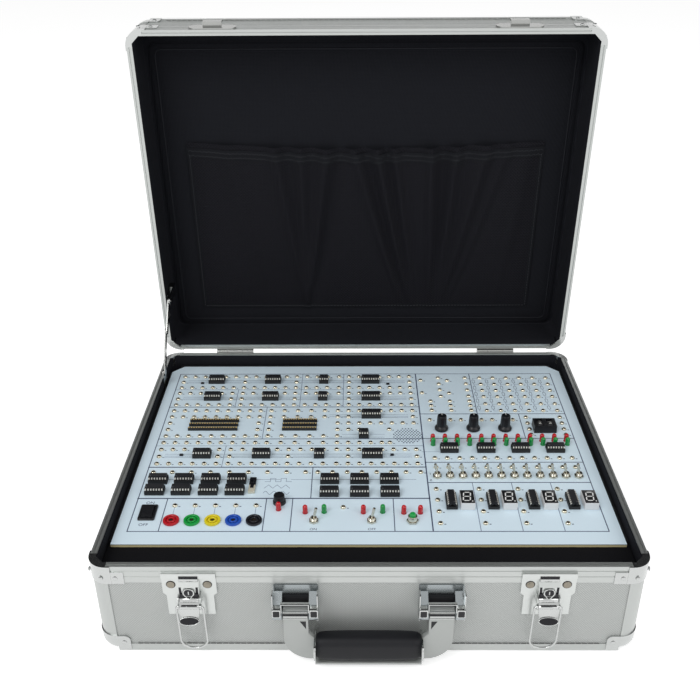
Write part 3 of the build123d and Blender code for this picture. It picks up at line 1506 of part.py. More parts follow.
# How far the stay's arms turn for each degree of the lid, from its two end positions.
lower_turn = degrees(
    atan2(stay_knee_shut[1] - stay_foot[1], stay_knee_shut[0] - stay_foot[0])
    - atan2(stay_knee[1] - stay_foot[1], stay_knee[0] - stay_foot[0])
)
upper_turn = degrees(
    atan2(stay_head_shut[1] - stay_knee_shut[1], stay_head_shut[0] - stay_knee_shut[0])
    - atan2(stay_head[1] - stay_knee[1], stay_head[0] - stay_knee[0])
)
print("stay foot", stay_foot, "knee", stay_knee, "head", stay_head, "head shut", stay_head_shut)
print("lower arm per lid turn", lower_turn / lid_open_angle)
print("upper arm per lid turn, from the lower arm", (upper_turn - lower_turn) / lid_open_angle)
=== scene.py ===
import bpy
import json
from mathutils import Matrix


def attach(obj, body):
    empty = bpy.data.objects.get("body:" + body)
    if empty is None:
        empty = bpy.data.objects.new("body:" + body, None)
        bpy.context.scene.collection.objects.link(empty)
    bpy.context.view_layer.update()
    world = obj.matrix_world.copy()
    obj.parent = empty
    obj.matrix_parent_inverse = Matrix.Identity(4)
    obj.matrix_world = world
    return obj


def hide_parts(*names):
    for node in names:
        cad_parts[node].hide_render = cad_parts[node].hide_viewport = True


bl_info = {
    "name": "Digital Logic Trainer",
    "version": (1, 0, 0),
    "blender": (4, 5, 0),
    "location": "3D View > Sidebar > Trainer",
    "description": "Dresses the packed logic trainer with its finishes, small parts, linings and stage",
    "category": "Object",
}

import json
from math import atan2, cos, exp, hypot, pi, radians, sin, sqrt, tau

import bmesh
import bpy
from bpy.props import FloatProperty, FloatVectorProperty, PointerProperty
from mathutils import Matrix, Vector

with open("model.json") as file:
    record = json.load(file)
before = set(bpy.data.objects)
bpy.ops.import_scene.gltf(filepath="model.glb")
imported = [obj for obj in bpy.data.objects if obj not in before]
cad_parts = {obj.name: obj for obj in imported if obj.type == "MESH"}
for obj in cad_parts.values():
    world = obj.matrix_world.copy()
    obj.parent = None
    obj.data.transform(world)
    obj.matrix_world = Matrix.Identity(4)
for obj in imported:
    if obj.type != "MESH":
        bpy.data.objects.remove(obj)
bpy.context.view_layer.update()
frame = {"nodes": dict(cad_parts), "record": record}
nodes = frame["nodes"]

MM = 0.001

# Places shared with the frame, in millimetres and degrees
case_width, case_depth, case_height = 460.0, 358.0, 150.0
base_rim, lid_rim = 96.75, 52.75  # upper faces of the rims, from each tray's own bottom
hinge_y, hinge_z = 182.2, 97.0
lid_swing = 86.5  # of the open lid, from shut
board_front, board_top = -139.7, 86.0
front_wall = -case_depth / 2
half_lining_x, half_lining_y = 224.5, 173.5  # the lining's inner faces


def moved(x, y, z=0.0):
    """A shift in millimetres."""
    return Matrix.Translation((x, y, z))


def turned(degrees, axis):
    """A turn about an axis through the origin."""
    return Matrix.Rotation(radians(degrees), 4, axis)


# Each tray has its bottom at z = 0 and its rim above it
base_tray = Matrix.Identity(4)
shut_lid = moved(0, 0, case_height) @ turned(180, "X")
lid_tray = moved(0, hinge_y, hinge_z) @ turned(-lid_swing, "X") @ moved(0, -hinge_y, -hinge_z) @ shut_lid


def wall_frames(tray):
    """A tray's walls from outside: x along the wall, y to the rim, z out of it."""
    half_x, half_y = case_width / 2, case_depth / 2
    places = ((0, -half_y, 0), (half_x, 0, 90), (0, half_y, 180), (-half_x, 0, 270))
    return [tray @ moved(x, y) @ turned(angle, "Z") @ turned(90, "X") for x, y, angle in places]


base_front, _, base_rear, _ = wall_frames(base_tray)


def on_front(x, y, z=0.0):
    """A place on the base's front wall: from its middle, its foot and its face."""
    return base_front @ moved(x, y, z)


def on_board(x, y, z=0.0):
    """A place on the board's face, from its centre line and its front edge."""
    return moved(x, board_front + y, board_top + z)


# ------------------------------------------------------------------ mesh making
def inset(outline, by):
    """A closed outline moved inwards by the same distance all round."""
    result = []
    for i, (x, y) in enumerate(outline):
        ax, ay = outline[i - 1]
        bx, by_ = outline[(i + 1) % len(outline)]
        ux, uy = x - ax, y - ay
        vx, vy = bx - x, by_ - y
        ul, vl = hypot(ux, uy) or 1, hypot(vx, vy) or 1
        n1, n2 = (-uy / ul, ux / ul), (-vy / vl, vx / vl)
        nx, ny = n1[0] + n2[0], n1[1] + n2[1]
        scale = by / max(0.35, 1 + n1[0] * n2[0] + n1[1] * n2[1])
        result.append((x + nx * scale, y + ny * scale))
    return result


def arc(centre, radius, start, end, steps):
    """Points along an arc between two angles in degrees."""
    angles = [radians(start + (end - start) * k / steps) for k in range(steps + 1)]
    return [(centre[0] + radius * cos(a), centre[1] + radius * sin(a)) for a in angles]


def circle(count, radius=1.0, start=0.0, other=None):
    """A closed outline of so many points, as a circle, a polygon or, with another radius, an oval."""
    other = radius if other is None else other
    angles = [tau * (k + start) / count for k in range(count)]
    return [(radius * cos(a), other * sin(a)) for a in angles]


def rounded(width, depth, radius, steps=4):
    """A rounded rectangle, anticlockwise."""
    points = []
    for sx, sy, start in ((1, 1, 0), (-1, 1, 90), (-1, -1, 180), (1, -1, 270)):
        centre = (sx * (width / 2 - radius), sy * (depth / 2 - radius))
        points += arc(centre, radius, start, start + 90, steps)
    return points


def level(outline, height):
    """An outline as a ring at one height."""
    return [(x, y, height) for x, y in outline]


def grid_faces(columns, rows):
    """The faces of a grid of points given row by row."""
    n = columns + 1
    corners = [j * n + i for j in range(rows) for i in range(columns)]
    return [[k, k + 1, k + n + 1, k + n] for k in corners]


def linked(name, data):
    """A new object in the scene."""
    thing = bpy.data.objects.new(name, data)
    bpy.context.scene.collection.objects.link(thing)
    return thing


class Shape:
    """Faces gathered for one piece, in millimetres, each with the number of its finish."""

    def __init__(self):
        self.points, self.faces, self.marks = [], [], []

    def add(self, points, faces, at=None, mark=0):
        """Takes in more faces, set on their place."""
        start = len(self.points)
        at = at or Matrix.Identity(4)
        self.points += [at @ Vector(p) for p in points]
        self.faces += [[start + i for i in face] for face in faces]
        self.marks += [mark] * len(faces)
        return self

    def rings(self, rings, at=None, mark=0, closed=False):
        """Skins rings of the same number of points; an end of one point closes to a pole."""
        points, starts = [], []
        for ring in rings:
            starts.append(len(points))
            points += ring
        faces = []
        pairs = list(zip(range(len(rings)), range(1, len(rings))))
        if closed:
            pairs.append((len(rings) - 1, 0))
        for a, b in pairs:
            na, nb = len(rings[a]), len(rings[b])
            count = max(na, nb)
            for k in range(count):
                j = (k + 1) % count
                face = [
                    starts[a] + (k if na > 1 else 0),
                    starts[a] + (j if na > 1 else 0),
                    starts[b] + (j if nb > 1 else 0),
                    starts[b] + (k if nb > 1 else 0),
                ]
                faces.append(list(dict.fromkeys(face)))
        if not closed:
            if len(rings[0]) > 1:
                faces.append([starts[0] + k for k in reversed(range(len(rings[0])))])
            if len(rings[-1]) > 1:
                faces.append([starts[-1] + k for k in range(len(rings[-1]))])
        return self.add(points, faces, at, mark)

    def lathe(self, profile, at=None, mark=0, sides=24):
        """Turns a profile of (radius, height), from its foot to its top, round z."""
        rings = []
        for radius, height in profile:
            rings.append(level(circle(sides, radius), height) if radius > 1e-6 else [(0, 0, height)])
        return self.rings(rings, at, mark)

    def prism(self, outline, low, high, at=None, mark=0, edge=0.0, foot_edge=None):
        """An upright prism with eased edges."""
        foot_edge = edge if foot_edge is None else foot_edge
        layers = [(foot_edge, low), (0, low + foot_edge)] if foot_edge else [(0, low)]
        layers += [(0, high - edge), (0.3 * edge, high - 0.3 * edge), (edge, high)] if edge else [(0, high)]
        rings = [level(inset(outline, d) if d else outline, z) for d, z in layers]
        return self.rings(rings, at, mark)

    def block(self, width, depth, low, high, at=None, mark=0, edge=0.0):
        """A square block centred on its place."""
        x, y = width / 2, depth / 2
        return self.prism([(x, y), (-x, y), (-x, -y), (x, -y)], low, high, at, mark, edge)

    def tube(self, path, radius, at=None, sides=12, closed=False):
        """A round bar along a path that lies in one plane."""
        path = [Vector(p) for p in path]
        normal = Vector((0, 0, 0))
        for a, b, c in zip(path, path[1:], path[2:]):
            normal += (b - a).cross(c - b)
        if normal.length <= 1e-9:
            normal = (path[1] - path[0]).orthogonal()
        normal.normalize()
        rings = []
        count = len(path)
        for i, p in enumerate(path):
            before = path[i - 1] if i or closed else p
            after = path[(i + 1) % count] if i < count - 1 or closed else p
            along = (after - before).normalized()
            side = along.cross(normal).normalized()
            rings.append([p + x * side + y * normal for x, y in circle(sides, radius)])
        return self.rings(rings, at, closed=closed)

    def piece(self, name, finishes, body, slot, hard=35.0, replaces=()):
        """The gathered faces as one object on its body."""
        mesh = bpy.data.meshes.new(name)
        mesh.from_pydata([tuple(p * MM) for p in self.points], [], self.faces)
        for material in finishes:
            mesh.materials.append(material)
        mesh.polygons.foreach_set("material_index", self.marks)
        outward(mesh)
        mesh.shade_smooth()
        mesh.set_sharp_from_angle(angle=radians(hard))
        return seat(linked(name, mesh), body, replaces)


def outward(mesh):
    """Merges doubles and turns every face outwards."""
    bm = bmesh.new()
    bm.from_mesh(mesh)
    bmesh.ops.remove_doubles(bm, verts=bm.verts, dist=1e-7)
    bmesh.ops.recalc_face_normals(bm, faces=bm.faces)
    bm.to_mesh(mesh)
    bm.free()


def finished_mesh(thing):
    """A plain mesh of what a text or a modifier makes."""
    bpy.context.view_layer.update()
    return bpy.data.meshes.new_from_object(thing.evaluated_get(bpy.context.evaluated_depsgraph_get()))


def seat(piece, body, replaces=()):
    """Fastens a piece to its body and says what it stands for."""
    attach(piece, body)
    if replaces:
        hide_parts(*replaces)
    return piece


def rod(radius, half, edge):
    """The profile of a round rod with eased ends, about its middle."""
    ends = [(0, -half), (radius - edge, -half), (radius, -half + edge)]
    return ends + [(r, -z) for r, z in reversed(ends)]


def repeat_tree():
    """A tree that sets one part on every point, turned by the point's own angles."""
    known = bpy.data.node_groups.get("parts_on_points")
    if known:
        return known
    tree = bpy.data.node_groups.new("parts_on_points", "GeometryNodeTree")
    for name, kind in (("Places", "Geometry"), ("Part", "Object"), ("Finish", "Material")):
        tree.interface.new_socket(name, in_out="INPUT", socket_type=f"NodeSocket{kind}")
    tree.interface.new_socket("Parts", in_out="OUTPUT", socket_type="NodeSocketGeometry")
    add = tree.nodes.new
    inputs, output = add("NodeGroupInput"), add("NodeGroupOutput")
    part = add("GeometryNodeObjectInfo")
    turn = add("GeometryNodeInputNamedAttribute")
    turn.data_type = "FLOAT_VECTOR"
    turn.inputs["Name"].default_value = "turn"
    angles = add("FunctionNodeEulerToRotation")
    stretch = add("GeometryNodeInputNamedAttribute")
    stretch.data_type = "FLOAT_VECTOR"
    stretch.inputs["Name"].default_value = "stretch"
    instances = add("GeometryNodeInstanceOnPoints")
    real = add("GeometryNodeRealizeInstances")
    dressed = add("GeometryNodeSetMaterial")
    for start, end in (
        (inputs.outputs["Places"], instances.inputs["Points"]),
        (inputs.outputs["Part"], part.inputs["Object"]),
        (part.outputs["Geometry"], instances.inputs["Instance"]),
        (turn.outputs["Attribute"], angles.inputs["Euler"]),
        (angles.outputs["Rotation"], instances.inputs["Rotation"]),
        (stretch.outputs["Attribute"], instances.inputs["Scale"]),
        (instances.outputs["Instances"], real.inputs["Geometry"]),
        (real.outputs["Geometry"], dressed.inputs["Geometry"]),
        (inputs.outputs["Finish"], dressed.inputs["Material"]),
        (dressed.outputs["Geometry"], output.inputs["Parts"]),
    ):
        tree.links.new(start, end)
    return tree


def repeated(name, unit, places, material, body, hard=35.0, replaces=()):
    """One shape on many places. Each place is a matrix in millimetres."""
    master_mesh = bpy.data.meshes.new(f"{name}_part")
    master_mesh.from_pydata([tuple(p * MM) for p in unit.points], [], unit.faces)
    outward(master_mesh)
    master = linked(f"{name}_part", master_mesh)
    points = bpy.data.meshes.new(name)
    points.from_pydata([tuple(place.translation * MM) for place in places], [], [])
    turns = points.attributes.new("turn", "FLOAT_VECTOR", "POINT")
    stretches = points.attributes.new("stretch", "FLOAT_VECTOR", "POINT")
    for i, place in enumerate(places):
        turns.data[i].vector = place.to_euler()
        stretches.data[i].vector = place.to_scale()
    piece = linked(name, points)
    modifier = piece.modifiers.new("parts", "NODES")
    modifier.node_group = repeat_tree()
    values = {"Part": master, "Finish": material}
    for item in modifier.node_group.interface.items_tree:
        if item.name in values and item.in_out == "INPUT":
            modifier[item.identifier] = values[item.name]
    made = finished_mesh(piece)
    piece.modifiers.clear()
    piece.data = made
    for attribute in ("turn", "stretch"):
        if attribute in made.attributes:
            made.attributes.remove(made.attributes[attribute])
    made.shade_smooth()
    made.set_sharp_from_angle(angle=radians(hard))
    bpy.data.objects.remove(master)
    return seat(piece, body, replaces)


def islands(node):
    """The box of each loose part of a CAD node, in millimetres, read from a merged copy."""
    mesh = nodes[node].data
    keys, parent = {}, []

    def root(i):
        while parent[i] != i:
            parent[i] = parent[parent[i]]
            i = parent[i]
        return i

    ids = []
    for vertex in mesh.vertices:
        key = tuple(round(c * 20000) for c in vertex.co)
        if key not in keys:
            keys[key] = len(parent)
            parent.append(len(parent))
        ids.append(keys[key])
    for polygon in mesh.polygons:
        first = root(ids[polygon.vertices[0]])
        for v in polygon.vertices[1:]:
            other = root(ids[v])
            if other != first:
                parent[other] = first
    boxes = {}
    for vertex, i in zip(mesh.vertices, ids):
        p = vertex.co / MM
        low, high = boxes.setdefault(root(i), (Vector(p), Vector(p)))
        for k in range(3):
            low[k] = min(low[k], p[k])
            high[k] = max(high[k], p[k])
    return sorted(boxes.values(), key=lambda box: (round(box[0].y, 1), round(box[0].x, 1)))


def centres(node):
    """Middles of a node's loose parts that stand over the board, on the board's face."""
    boxes = [(low, high) for low, high in islands(node) if high.z >= board_top]
    return [((low.x + high.x) / 2, (low.y + high.y) / 2 - board_front) for low, high in boxes]


# ------------------------------------------------------------------ finishes
cloth_gloss = 0.12


def linear(colour):
    """Screen values from 0 to 255 as the linear colour that a shader takes."""
    return [((c / 255 + 0.055) / 1.055) ** 2.4 if c > 10 else c / 255 / 12.92 for c in colour] + [1.0]


def shader_group(name, inputs, outputs):
    """A new group with its sockets, and its input and output nodes."""
    tree = bpy.data.node_groups.new(name, "ShaderNodeTree")
    for label, kind, value in inputs:
        socket = tree.interface.new_socket(label, in_out="INPUT", socket_type=f"NodeSocket{kind}")
        socket.default_value = value
    for label, kind in outputs:
        tree.interface.new_socket(label, in_out="OUTPUT", socket_type=f"NodeSocket{kind}")
    return tree, tree.nodes.new("NodeGroupInput"), tree.nodes.new("NodeGroupOutput")


def math_node(tree, operation, a, b=None, clamp=False):
    """The output of one sum of two numbers or sockets."""
    node = tree.nodes.new("ShaderNodeMath")
    node.operation = operation
    node.use_clamp = clamp
    for socket, value in zip(node.inputs, (a, b)):
        if value is None:
            continue
        if isinstance(value, (int, float)):
            socket.default_value = value
        else:
            tree.links.new(value, socket)
    return node.outputs[0]


def object_axes(tree):
    """Object coordinates, whole and split."""
    place = tree.nodes.new("ShaderNodeTexCoord")
    split = tree.nodes.new("ShaderNodeSeparateXYZ")
    tree.links.new(place.outputs["Object"], split.inputs[0])
    return place.outputs["Object"], split.outputs


def surface_variation():
    """Slow changes of tone, fine grain and faint rubbing, shared by every finish."""
    known = bpy.data.node_groups.get("surface_variation")
    if known:
        return known
    tree, inputs, outputs = shader_group(
        "surface_variation",
        [
            ("Colour", "Color", (0.5, 0.5, 0.5, 1)),
            ("Tone Spread", "Float", 0.06),
            ("Roughness", "Float", 0.4),
            ("Roughness Spread", "Float", 0.1),
            ("Grain Size", "Float", 0.0006),
            ("Grain Depth", "Float", 0.1),
        ],
        [("Colour", "Color"), ("Roughness", "Float"), ("Normal", "Vector")],
    )
    place, _ = object_axes(tree)
    slow = tree.nodes.new("ShaderNodeTexNoise")
    slow.inputs["Scale"].default_value = 9.0
    slow.inputs["Detail"].default_value = 4.0
    fine = tree.nodes.new("ShaderNodeTexNoise")
    fine.inputs["Detail"].default_value = 2.0
    tree.links.new(place, slow.inputs["Vector"])
    tree.links.new(place, fine.inputs["Vector"])
    tree.links.new(math_node(tree, "DIVIDE", 1.0, inputs.outputs["Grain Size"]), fine.inputs["Scale"])
    slow_share = math_node(tree, "MULTIPLY", slow.outputs[0], 0.6)
    both = math_node(tree, "ADD", slow_share, math_node(tree, "MULTIPLY", fine.outputs[0], 0.4))
    swing = math_node(tree, "SUBTRACT", both, 0.5)
    value = math_node(tree, "ADD", math_node(tree, "MULTIPLY", swing, inputs.outputs["Tone Spread"]), 0.5)
    tone = tree.nodes.new("ShaderNodeHueSaturation")
    tree.links.new(math_node(tree, "MULTIPLY", value, 2.0), tone.inputs["Value"])
    tree.links.new(inputs.outputs["Colour"], tone.inputs["Color"])
    tree.links.new(tone.outputs["Color"], outputs.inputs["Colour"])
    rough = math_node(tree, "MULTIPLY", swing, inputs.outputs["Roughness Spread"])
    roughness = math_node(tree, "ADD", inputs.outputs["Roughness"], rough, clamp=True)
    tree.links.new(roughness, outputs.inputs["Roughness"])
    bump = tree.nodes.new("ShaderNodeBump")
    bump.inputs["Distance"].default_value = 0.0004
    tree.links.new(inputs.outputs["Grain Depth"], bump.inputs["Strength"])
    tree.links.new(fine.outputs[0], bump.inputs["Height"])
    tree.links.new(bump.outputs["Normal"], outputs.inputs["Normal"])
    return tree


def crossed_waves(name, build):
    """A group that gives a height and a mask for a pattern made of crossing lines."""
    known = bpy.data.node_groups.get(name)
    if known:
        return known
    settings = [("Pitch", "Float", 0.002), ("Strength", "Float", 0.5)]
    tree, inputs, outputs = shader_group(name, settings, [("Mask", "Float"), ("Normal", "Vector")])
    _, axes = object_axes(tree)
    turns = math_node(tree, "DIVIDE", pi, inputs.outputs["Pitch"])
    height = build(tree, axes, turns)
    tree.links.new(height, outputs.inputs["Mask"])
    bump = tree.nodes.new("ShaderNodeBump")
    bump.inputs["Distance"].default_value = 0.0006
    tree.links.new(inputs.outputs["Strength"], bump.inputs["Strength"])
    tree.links.new(height, bump.inputs["Height"])
    tree.links.new(bump.outputs["Normal"], outputs.inputs["Normal"])
    return tree


def wave(tree, turns, *terms):
    """A wave over a sum of axes, each further one with its sign."""
    total = terms[0]
    for sign, term in terms[1:]:
        total = math_node(tree, "ADD" if sign > 0 else "SUBTRACT", total, term)
    return math_node(tree, "SINE", math_node(tree, "MULTIPLY", total, turns))


def diamonds(tree, axes, turns):
    """Small embossed diamonds, as on laminated case panels."""
    x, y, z = axes
    first = wave(tree, turns, x, (1, y), (1, z))
    second = wave(tree, turns, x, (1, y), (-1, z))
    return math_node(tree, "ABSOLUTE", math_node(tree, "MULTIPLY", first, second))


def basket(tree, axes, turns):
    """Strands that pass over and under each other."""
    x, _, z = axes
    first = wave(tree, turns, x, (1, z))
    second = wave(tree, turns, x, (-1, z))
    over = math_node(tree, "GREATER_THAN", math_node(tree, "MULTIPLY", first, second), 0.0)
    one = math_node(tree, "MULTIPLY", math_node(tree, "ABSOLUTE", first), over)
    under = math_node(tree, "SUBTRACT", 1.0, over)
    other = math_node(tree, "MULTIPLY", math_node(tree, "ABSOLUTE", second), under)
    return math_node(tree, "ADD", one, other)


def fine_weave(tree, axes, turns):
    """The close weave of lining cloth."""
    x, y, z = axes
    first = math_node(tree, "ABSOLUTE", wave(tree, turns, x, (1, y)))
    second = math_node(tree, "ABSOLUTE", wave(tree, turns, z, (-1, y)))
    return math_node(tree, "MULTIPLY", first, second)


def finish(
    name, colour, rough=0.4, metal=0.0, tone=0.08, rough_spread=0.1, grain=0.0006, depth=0.08, **more
):
    """A finish with varied tone, roughness and grain; more sets the shader's own sockets."""
    known = bpy.data.materials.get(name)
    if known:
        return known
    material = bpy.data.materials.new(name)
    material.use_nodes = True
    tree = material.node_tree
    shader = tree.nodes["Principled BSDF"]
    shader.inputs["Metallic"].default_value = metal
    for socket, value in more.items():
        shader.inputs[socket.replace("_", " ")].default_value = value
    group = tree.nodes.new("ShaderNodeGroup")
    group.name = "variation"
    group.node_tree = surface_variation()
    for socket, value in (
        ("Colour", linear(colour)),
        ("Tone Spread", tone),
        ("Roughness", rough),
        ("Roughness Spread", rough_spread),
        ("Grain Size", grain),
        ("Grain Depth", depth),
    ):
        group.inputs[socket].default_value = value
    tree.links.new(group.outputs["Colour"], shader.inputs["Base Color"])
    tree.links.new(group.outputs["Roughness"], shader.inputs["Roughness"])
    tree.links.new(group.outputs["Normal"], shader.inputs["Normal"])
    return material


def patterned(name, colour, dark, pattern, pitch, strength, **more):
    """A finish whose tone and relief follow a crossing pattern."""
    known = bpy.data.materials.get(name)
    if known:
        return known
    material = finish(name, colour, **more)
    tree = material.node_tree
    shader, group = tree.nodes["Principled BSDF"], tree.nodes["variation"]
    lines = tree.nodes.new("ShaderNodeGroup")
    lines.node_tree = crossed_waves(pattern.__name__, pattern)
    lines.inputs["Pitch"].default_value = pitch
    lines.inputs["Strength"].default_value = strength
    mix = tree.nodes.new("ShaderNodeMix")
    mix.data_type = "RGBA"
    # painted shade: the dark colour shows where the pattern's relief is low
    mix.inputs["A"].default_value = linear(dark)
    tree.links.new(lines.outputs["Mask"], mix.inputs["Factor"])
    tree.links.new(group.outputs["Colour"], mix.inputs["B"])
    tree.links.new(mix.outputs["Result"], shader.inputs["Base Color"])
    tree.links.new(lines.outputs["Normal"], shader.inputs["Normal"])
    return material


def layered(name, bands, **more):
    """A finish whose colour changes with height: bands of (top height in metres, colour)."""
    known = bpy.data.materials.get(name)
    if known:
        return known
    material = finish(name, bands[-1][1], **more)
    tree = material.node_tree
    shader, group = tree.nodes["Principled BSDF"], tree.nodes["variation"]
    _, axes = object_axes(tree)
    colour = group.outputs["Colour"]
    for height, band in reversed(bands[:-1]):
        below = math_node(tree, "LESS_THAN", axes[2], height)
        mix = tree.nodes.new("ShaderNodeMix")
        mix.data_type = "RGBA"
        tree.links.new(below, mix.inputs["Factor"])
        tree.links.new(colour, mix.inputs["A"])
        mix.inputs["B"].default_value = linear(band)
        colour = mix.outputs["Result"]
    tree.links.new(colour, shader.inputs["Base Color"])
    return material


def screen_values(colour):
    """A colour setting from 0 to 1 as values from 0 to 255."""
    return [v * 255 for v in colour]


def panel_finish():
    """Pale laminate with pressed diamonds, for the case's walls."""
    face = screen_values(bpy.context.scene.trainer_colours.panel)
    # painted shade: the darker colour of the pressed hollows
    painted_shade = (168, 171, 169)
    return patterned(
        "embossed_laminate", face, painted_shade, diamonds, 0.0022, 0.35, rough=0.42, metal=0.35, tone=0.05
    )


def extrusion_finish():
    """Anodised aluminium of the rims."""
    return finish(
        "anodised_extrusion", (186, 189, 187), rough=0.3, metal=0.85, tone=0.05, grain=0.0009, depth=0.03
    )


def bright_finish():
    """Polished zinc of corners, latches and rivets."""
    return finish(
        "polished_zinc", (186, 188, 187), rough=0.17, metal=1.0, tone=0.05, rough_spread=0.12, depth=0.02
    )


def plated_finish():
    """Nickel of hinges, stay and catches."""
    return finish(
        "nickel_plating", (158, 159, 157), rough=0.18, metal=1.0, tone=0.08, rough_spread=0.14, depth=0.03
    )


def dark_plastic():
    """Black moulding of rocker, knobs and holders."""
    return finish("black_moulding", (20, 21, 25), rough=0.34, tone=0.2, depth=0.1, Specular_IOR_Level=0.35)


def cloth(name, colour, **more):
    """A matt finish for cloth and cord, with next to no sheen."""
    return finish(name, colour, Specular_IOR_Level=cloth_gloss, **more)


def lining_finish():
    """Black woven cloth of linings and padded panel."""
    # painted shade: the second colour darkens the weave between the threads
    face, painted_shade = (37, 38, 43), (25, 26, 31)
    more = {"rough": 0.9, "tone": 0.25, "Specular_IOR_Level": cloth_gloss}
    return patterned("black_lining_cloth", face, painted_shade, fine_weave, 0.0014, 0.5, **more)


def dress(node, *finishes):
    """Gives a CAD node its finish through its object's own material slots."""
    piece = nodes[node]
    for slot, material in zip(piece.material_slots, list(finishes) * len(piece.material_slots)):
        slot.link = "OBJECT"
        slot.material = material


# ------------------------------------------------------------------ case
def dress_case():
    """Finishes of the case's own solids, its rivets and the mains inlet."""
    extrusion, bright, plated = extrusion_finish(), bright_finish(), plated_finish()
    edge = edge_finish()
    for tray in ("base", "lid"):
        dress(f"{tray}_panels", panel_finish())
        dress(f"{tray}_rim", extrusion)
        dress(f"{tray}_edge_profiles", edge)
        dress(f"{tray}_corners", bright)
        dress(f"{tray}_hinge_hardware", plated)
    dress("stay_lower_arm", plated)
    dress("stay_upper_arm", plated)
    dress("lid_catches", plated)
    satin = finish("satin_plate", (202, 205, 203), rough=0.3, metal=0.8, tone=0.06, depth=0.03)
    dress("latch_plates", satin)
    chrome = finish("bracket_chrome", (150, 156, 158), rough=0.2, metal=1.0, tone=0.1, depth=0.02)
    dress("handle_brackets", chrome)
    case_rivets()
    inlet_details()


def edge_finish():
    """Bare aluminium of the edge profiles."""
    return finish(
        "mill_aluminium_edge", (184, 187, 185), rough=0.36, metal=0.7, tone=0.06, grain=0.0008, depth=0.04
    )


def rivet_shape(radius, rise):
    """A low domed head."""
    profile = ((1.08, 0), (1, 0.45), (0.72, 0.85), (0.35, 1), (0, 1))
    return Shape().lathe([(radius * r, rise * z) for r, z in profile], sides=14)


def case_rivets():
    """The corner castings' rivets, and the dashes that the lower seam shows along every wall."""
    sizes = bpy.context.scene.trainer_sizes
    unit = rivet_shape(sizes.rivet_radius, sizes.rivet_rise)
    dash_pitch, dash_height, corner_reach = 5.2, 10.25, 30
    under_rim, over_foot = 11.8, 12.5
    for body, tray, rim in (("base", base_tray, base_rim), ("lid", lid_tray, lid_rim)):
        places = []
        for side, face in enumerate(wall_frames(tray)):
            half = (case_depth if side % 2 else case_width) / 2
            for end in (-1, 1):
                places.append(face @ moved(end * (half - 23), rim - under_rim, 0.8))
                places.append(face @ moved(end * (half - 11), rim - under_rim, 1.0))
                places.append(face @ moved(end * (half - 21.5), over_foot, 0.8))
        repeated(f"{body}_rivets", unit, places, bright_finish(), body)
        seams = []
        for side, face in enumerate(wall_frames(tray)):
            half = (case_depth if side % 2 else case_width) / 2
            count = int((half - corner_reach) * 2 / dash_pitch)
            for k in range(count):
                seams.append(face @ moved((k - (count - 1) / 2) * dash_pitch, dash_height, 0.02))
        dash = Shape().block(4.4, 0.55, -0.3, 0.04)
        dark = finish("seam_shadow", (96, 97, 96), rough=0.7, tone=0.2)
        repeated(f"{body}_seam_dashes", dash, seams, dark, body)


def inlet_details():
    """The supply's mains inlet in the rear wall and its two screws."""
    dress("power_supply", dark_plastic())
    unit = screw_shape(2.6, 1.1)
    places = [base_rear @ moved(150 + side * 20.5, 35, 1.8) for side in (-1, 1)]
    repeated("inlet_screws", unit, places, plated_finish(), "base")


def screw_shape(radius, rise):
    """A countersunk head with a cross recess."""
    profile = ((1, 0), (1, 0.4), (0.85, 0.8), (0.5, 1), (0, 1))
    shape = Shape().lathe([(radius * r, rise * z) for r, z in profile], sides=18)
    for angle in (0, 90):
        shape.block(radius * 1.1, radius * 0.26, rise * 0.9, rise * 1.02, turned(angle, "Z"))
    return shape


# ------------------------------------------------------------------ latches
latch_places = (("left", -147.0), ("right", 147.0))
lever_height, lever_proud = 61.0, 8.2  # of the lever's pivot, on the front wall
lock_height, lock_proud = 74.5, 6.4
screw_height, screw_reach = 78.8, 15  # of the two screws beside each lock


def latch_fittings():
    """Screws, lock, lips and shadows of both latch plates, with their levers and wires."""
    bright = bright_finish()
    # painted shade: one dark finish for the shadows on the latch plates and levers, and for the lock's dark
    # face
    dark = finish("latch_painted_shade", (30, 30, 34), rough=0.35, metal=0.5, tone=0.3)
    dull = finish("dull_screw", (140, 134, 122), rough=0.35, metal=0.9, tone=0.15)
    screws, rings, faces = [], Shape(), Shape()
    for _, at in latch_places:
        lock = on_front(at, lock_height, lock_proud)
        ring = arc((0, 0), 4.3, -50, 230, 18) + [(0, -7.6)]
        rings.tube(level(ring, 0.1), 0.75, lock, sides=8, closed=True)
        rings.block(16.0, 3.4, 0, 2.2, on_front(at, 84.7, 1.2), edge=1.0)
        rings.block(0.9, 3.6, 0.25, 0.5, lock, edge=0.1)
        # painted shade: a dark line under the lip, a dark slot above it, the lock's face and a shadow under
        # the upper block
        faces.block(16.4, 0.6, 0, 0.9, on_front(at, 82.6, 1.2))
        faces.block(15.6, 2.0, 0, 1.0, on_front(at, 87.4, 1.9))
        faces.lathe([(3.7, -0.2), (3.7, 0.15), (3.2, 0.3), (0, 0.3)], lock, sides=24)
        faces.block(15.4, 4.0, 1.0, 6.2, on_front(at, 71.3, 0))
        for side in (-1, 1):
            screws.append(on_front(at + side * screw_reach, screw_height, 1.2))
            # painted shade: a dark ring round each screw and a shaded flank beside the lock
            faces.lathe([(3.95, 0), (3.95, 0.15), (0, 0.15)], screws[-1], sides=20)
            facet = [(side * 5.4, -4), (side * 7.9, -4), (side * 7.9, 4.5), (side * 6.0, 4.5)]
            faces.prism(facet, -0.2, 0.03, on_front(at, 75, 5.5))
    repeated("latch_screws", dished_screw(3.4), screws, dull, "base")
    rings.piece("latch_lock_rings", [bright], "base", "steel")
    faces.piece("latch_lock_faces", [dark], "base", "steel")
    for name, at in latch_places:
        lever_piece(name, at, bright, dark)
        bail_piece(name, at, bright)


def dished_screw(radius):
    """A round head that sinks towards its middle."""
    profile = ((1, 0), (1, 0.5), (0.88, 0.8), (0.72, 0.7), (0.45, 0.35), (0, 0.25))
    return Shape().lathe([(radius * r, z) for r, z in profile], sides=20)


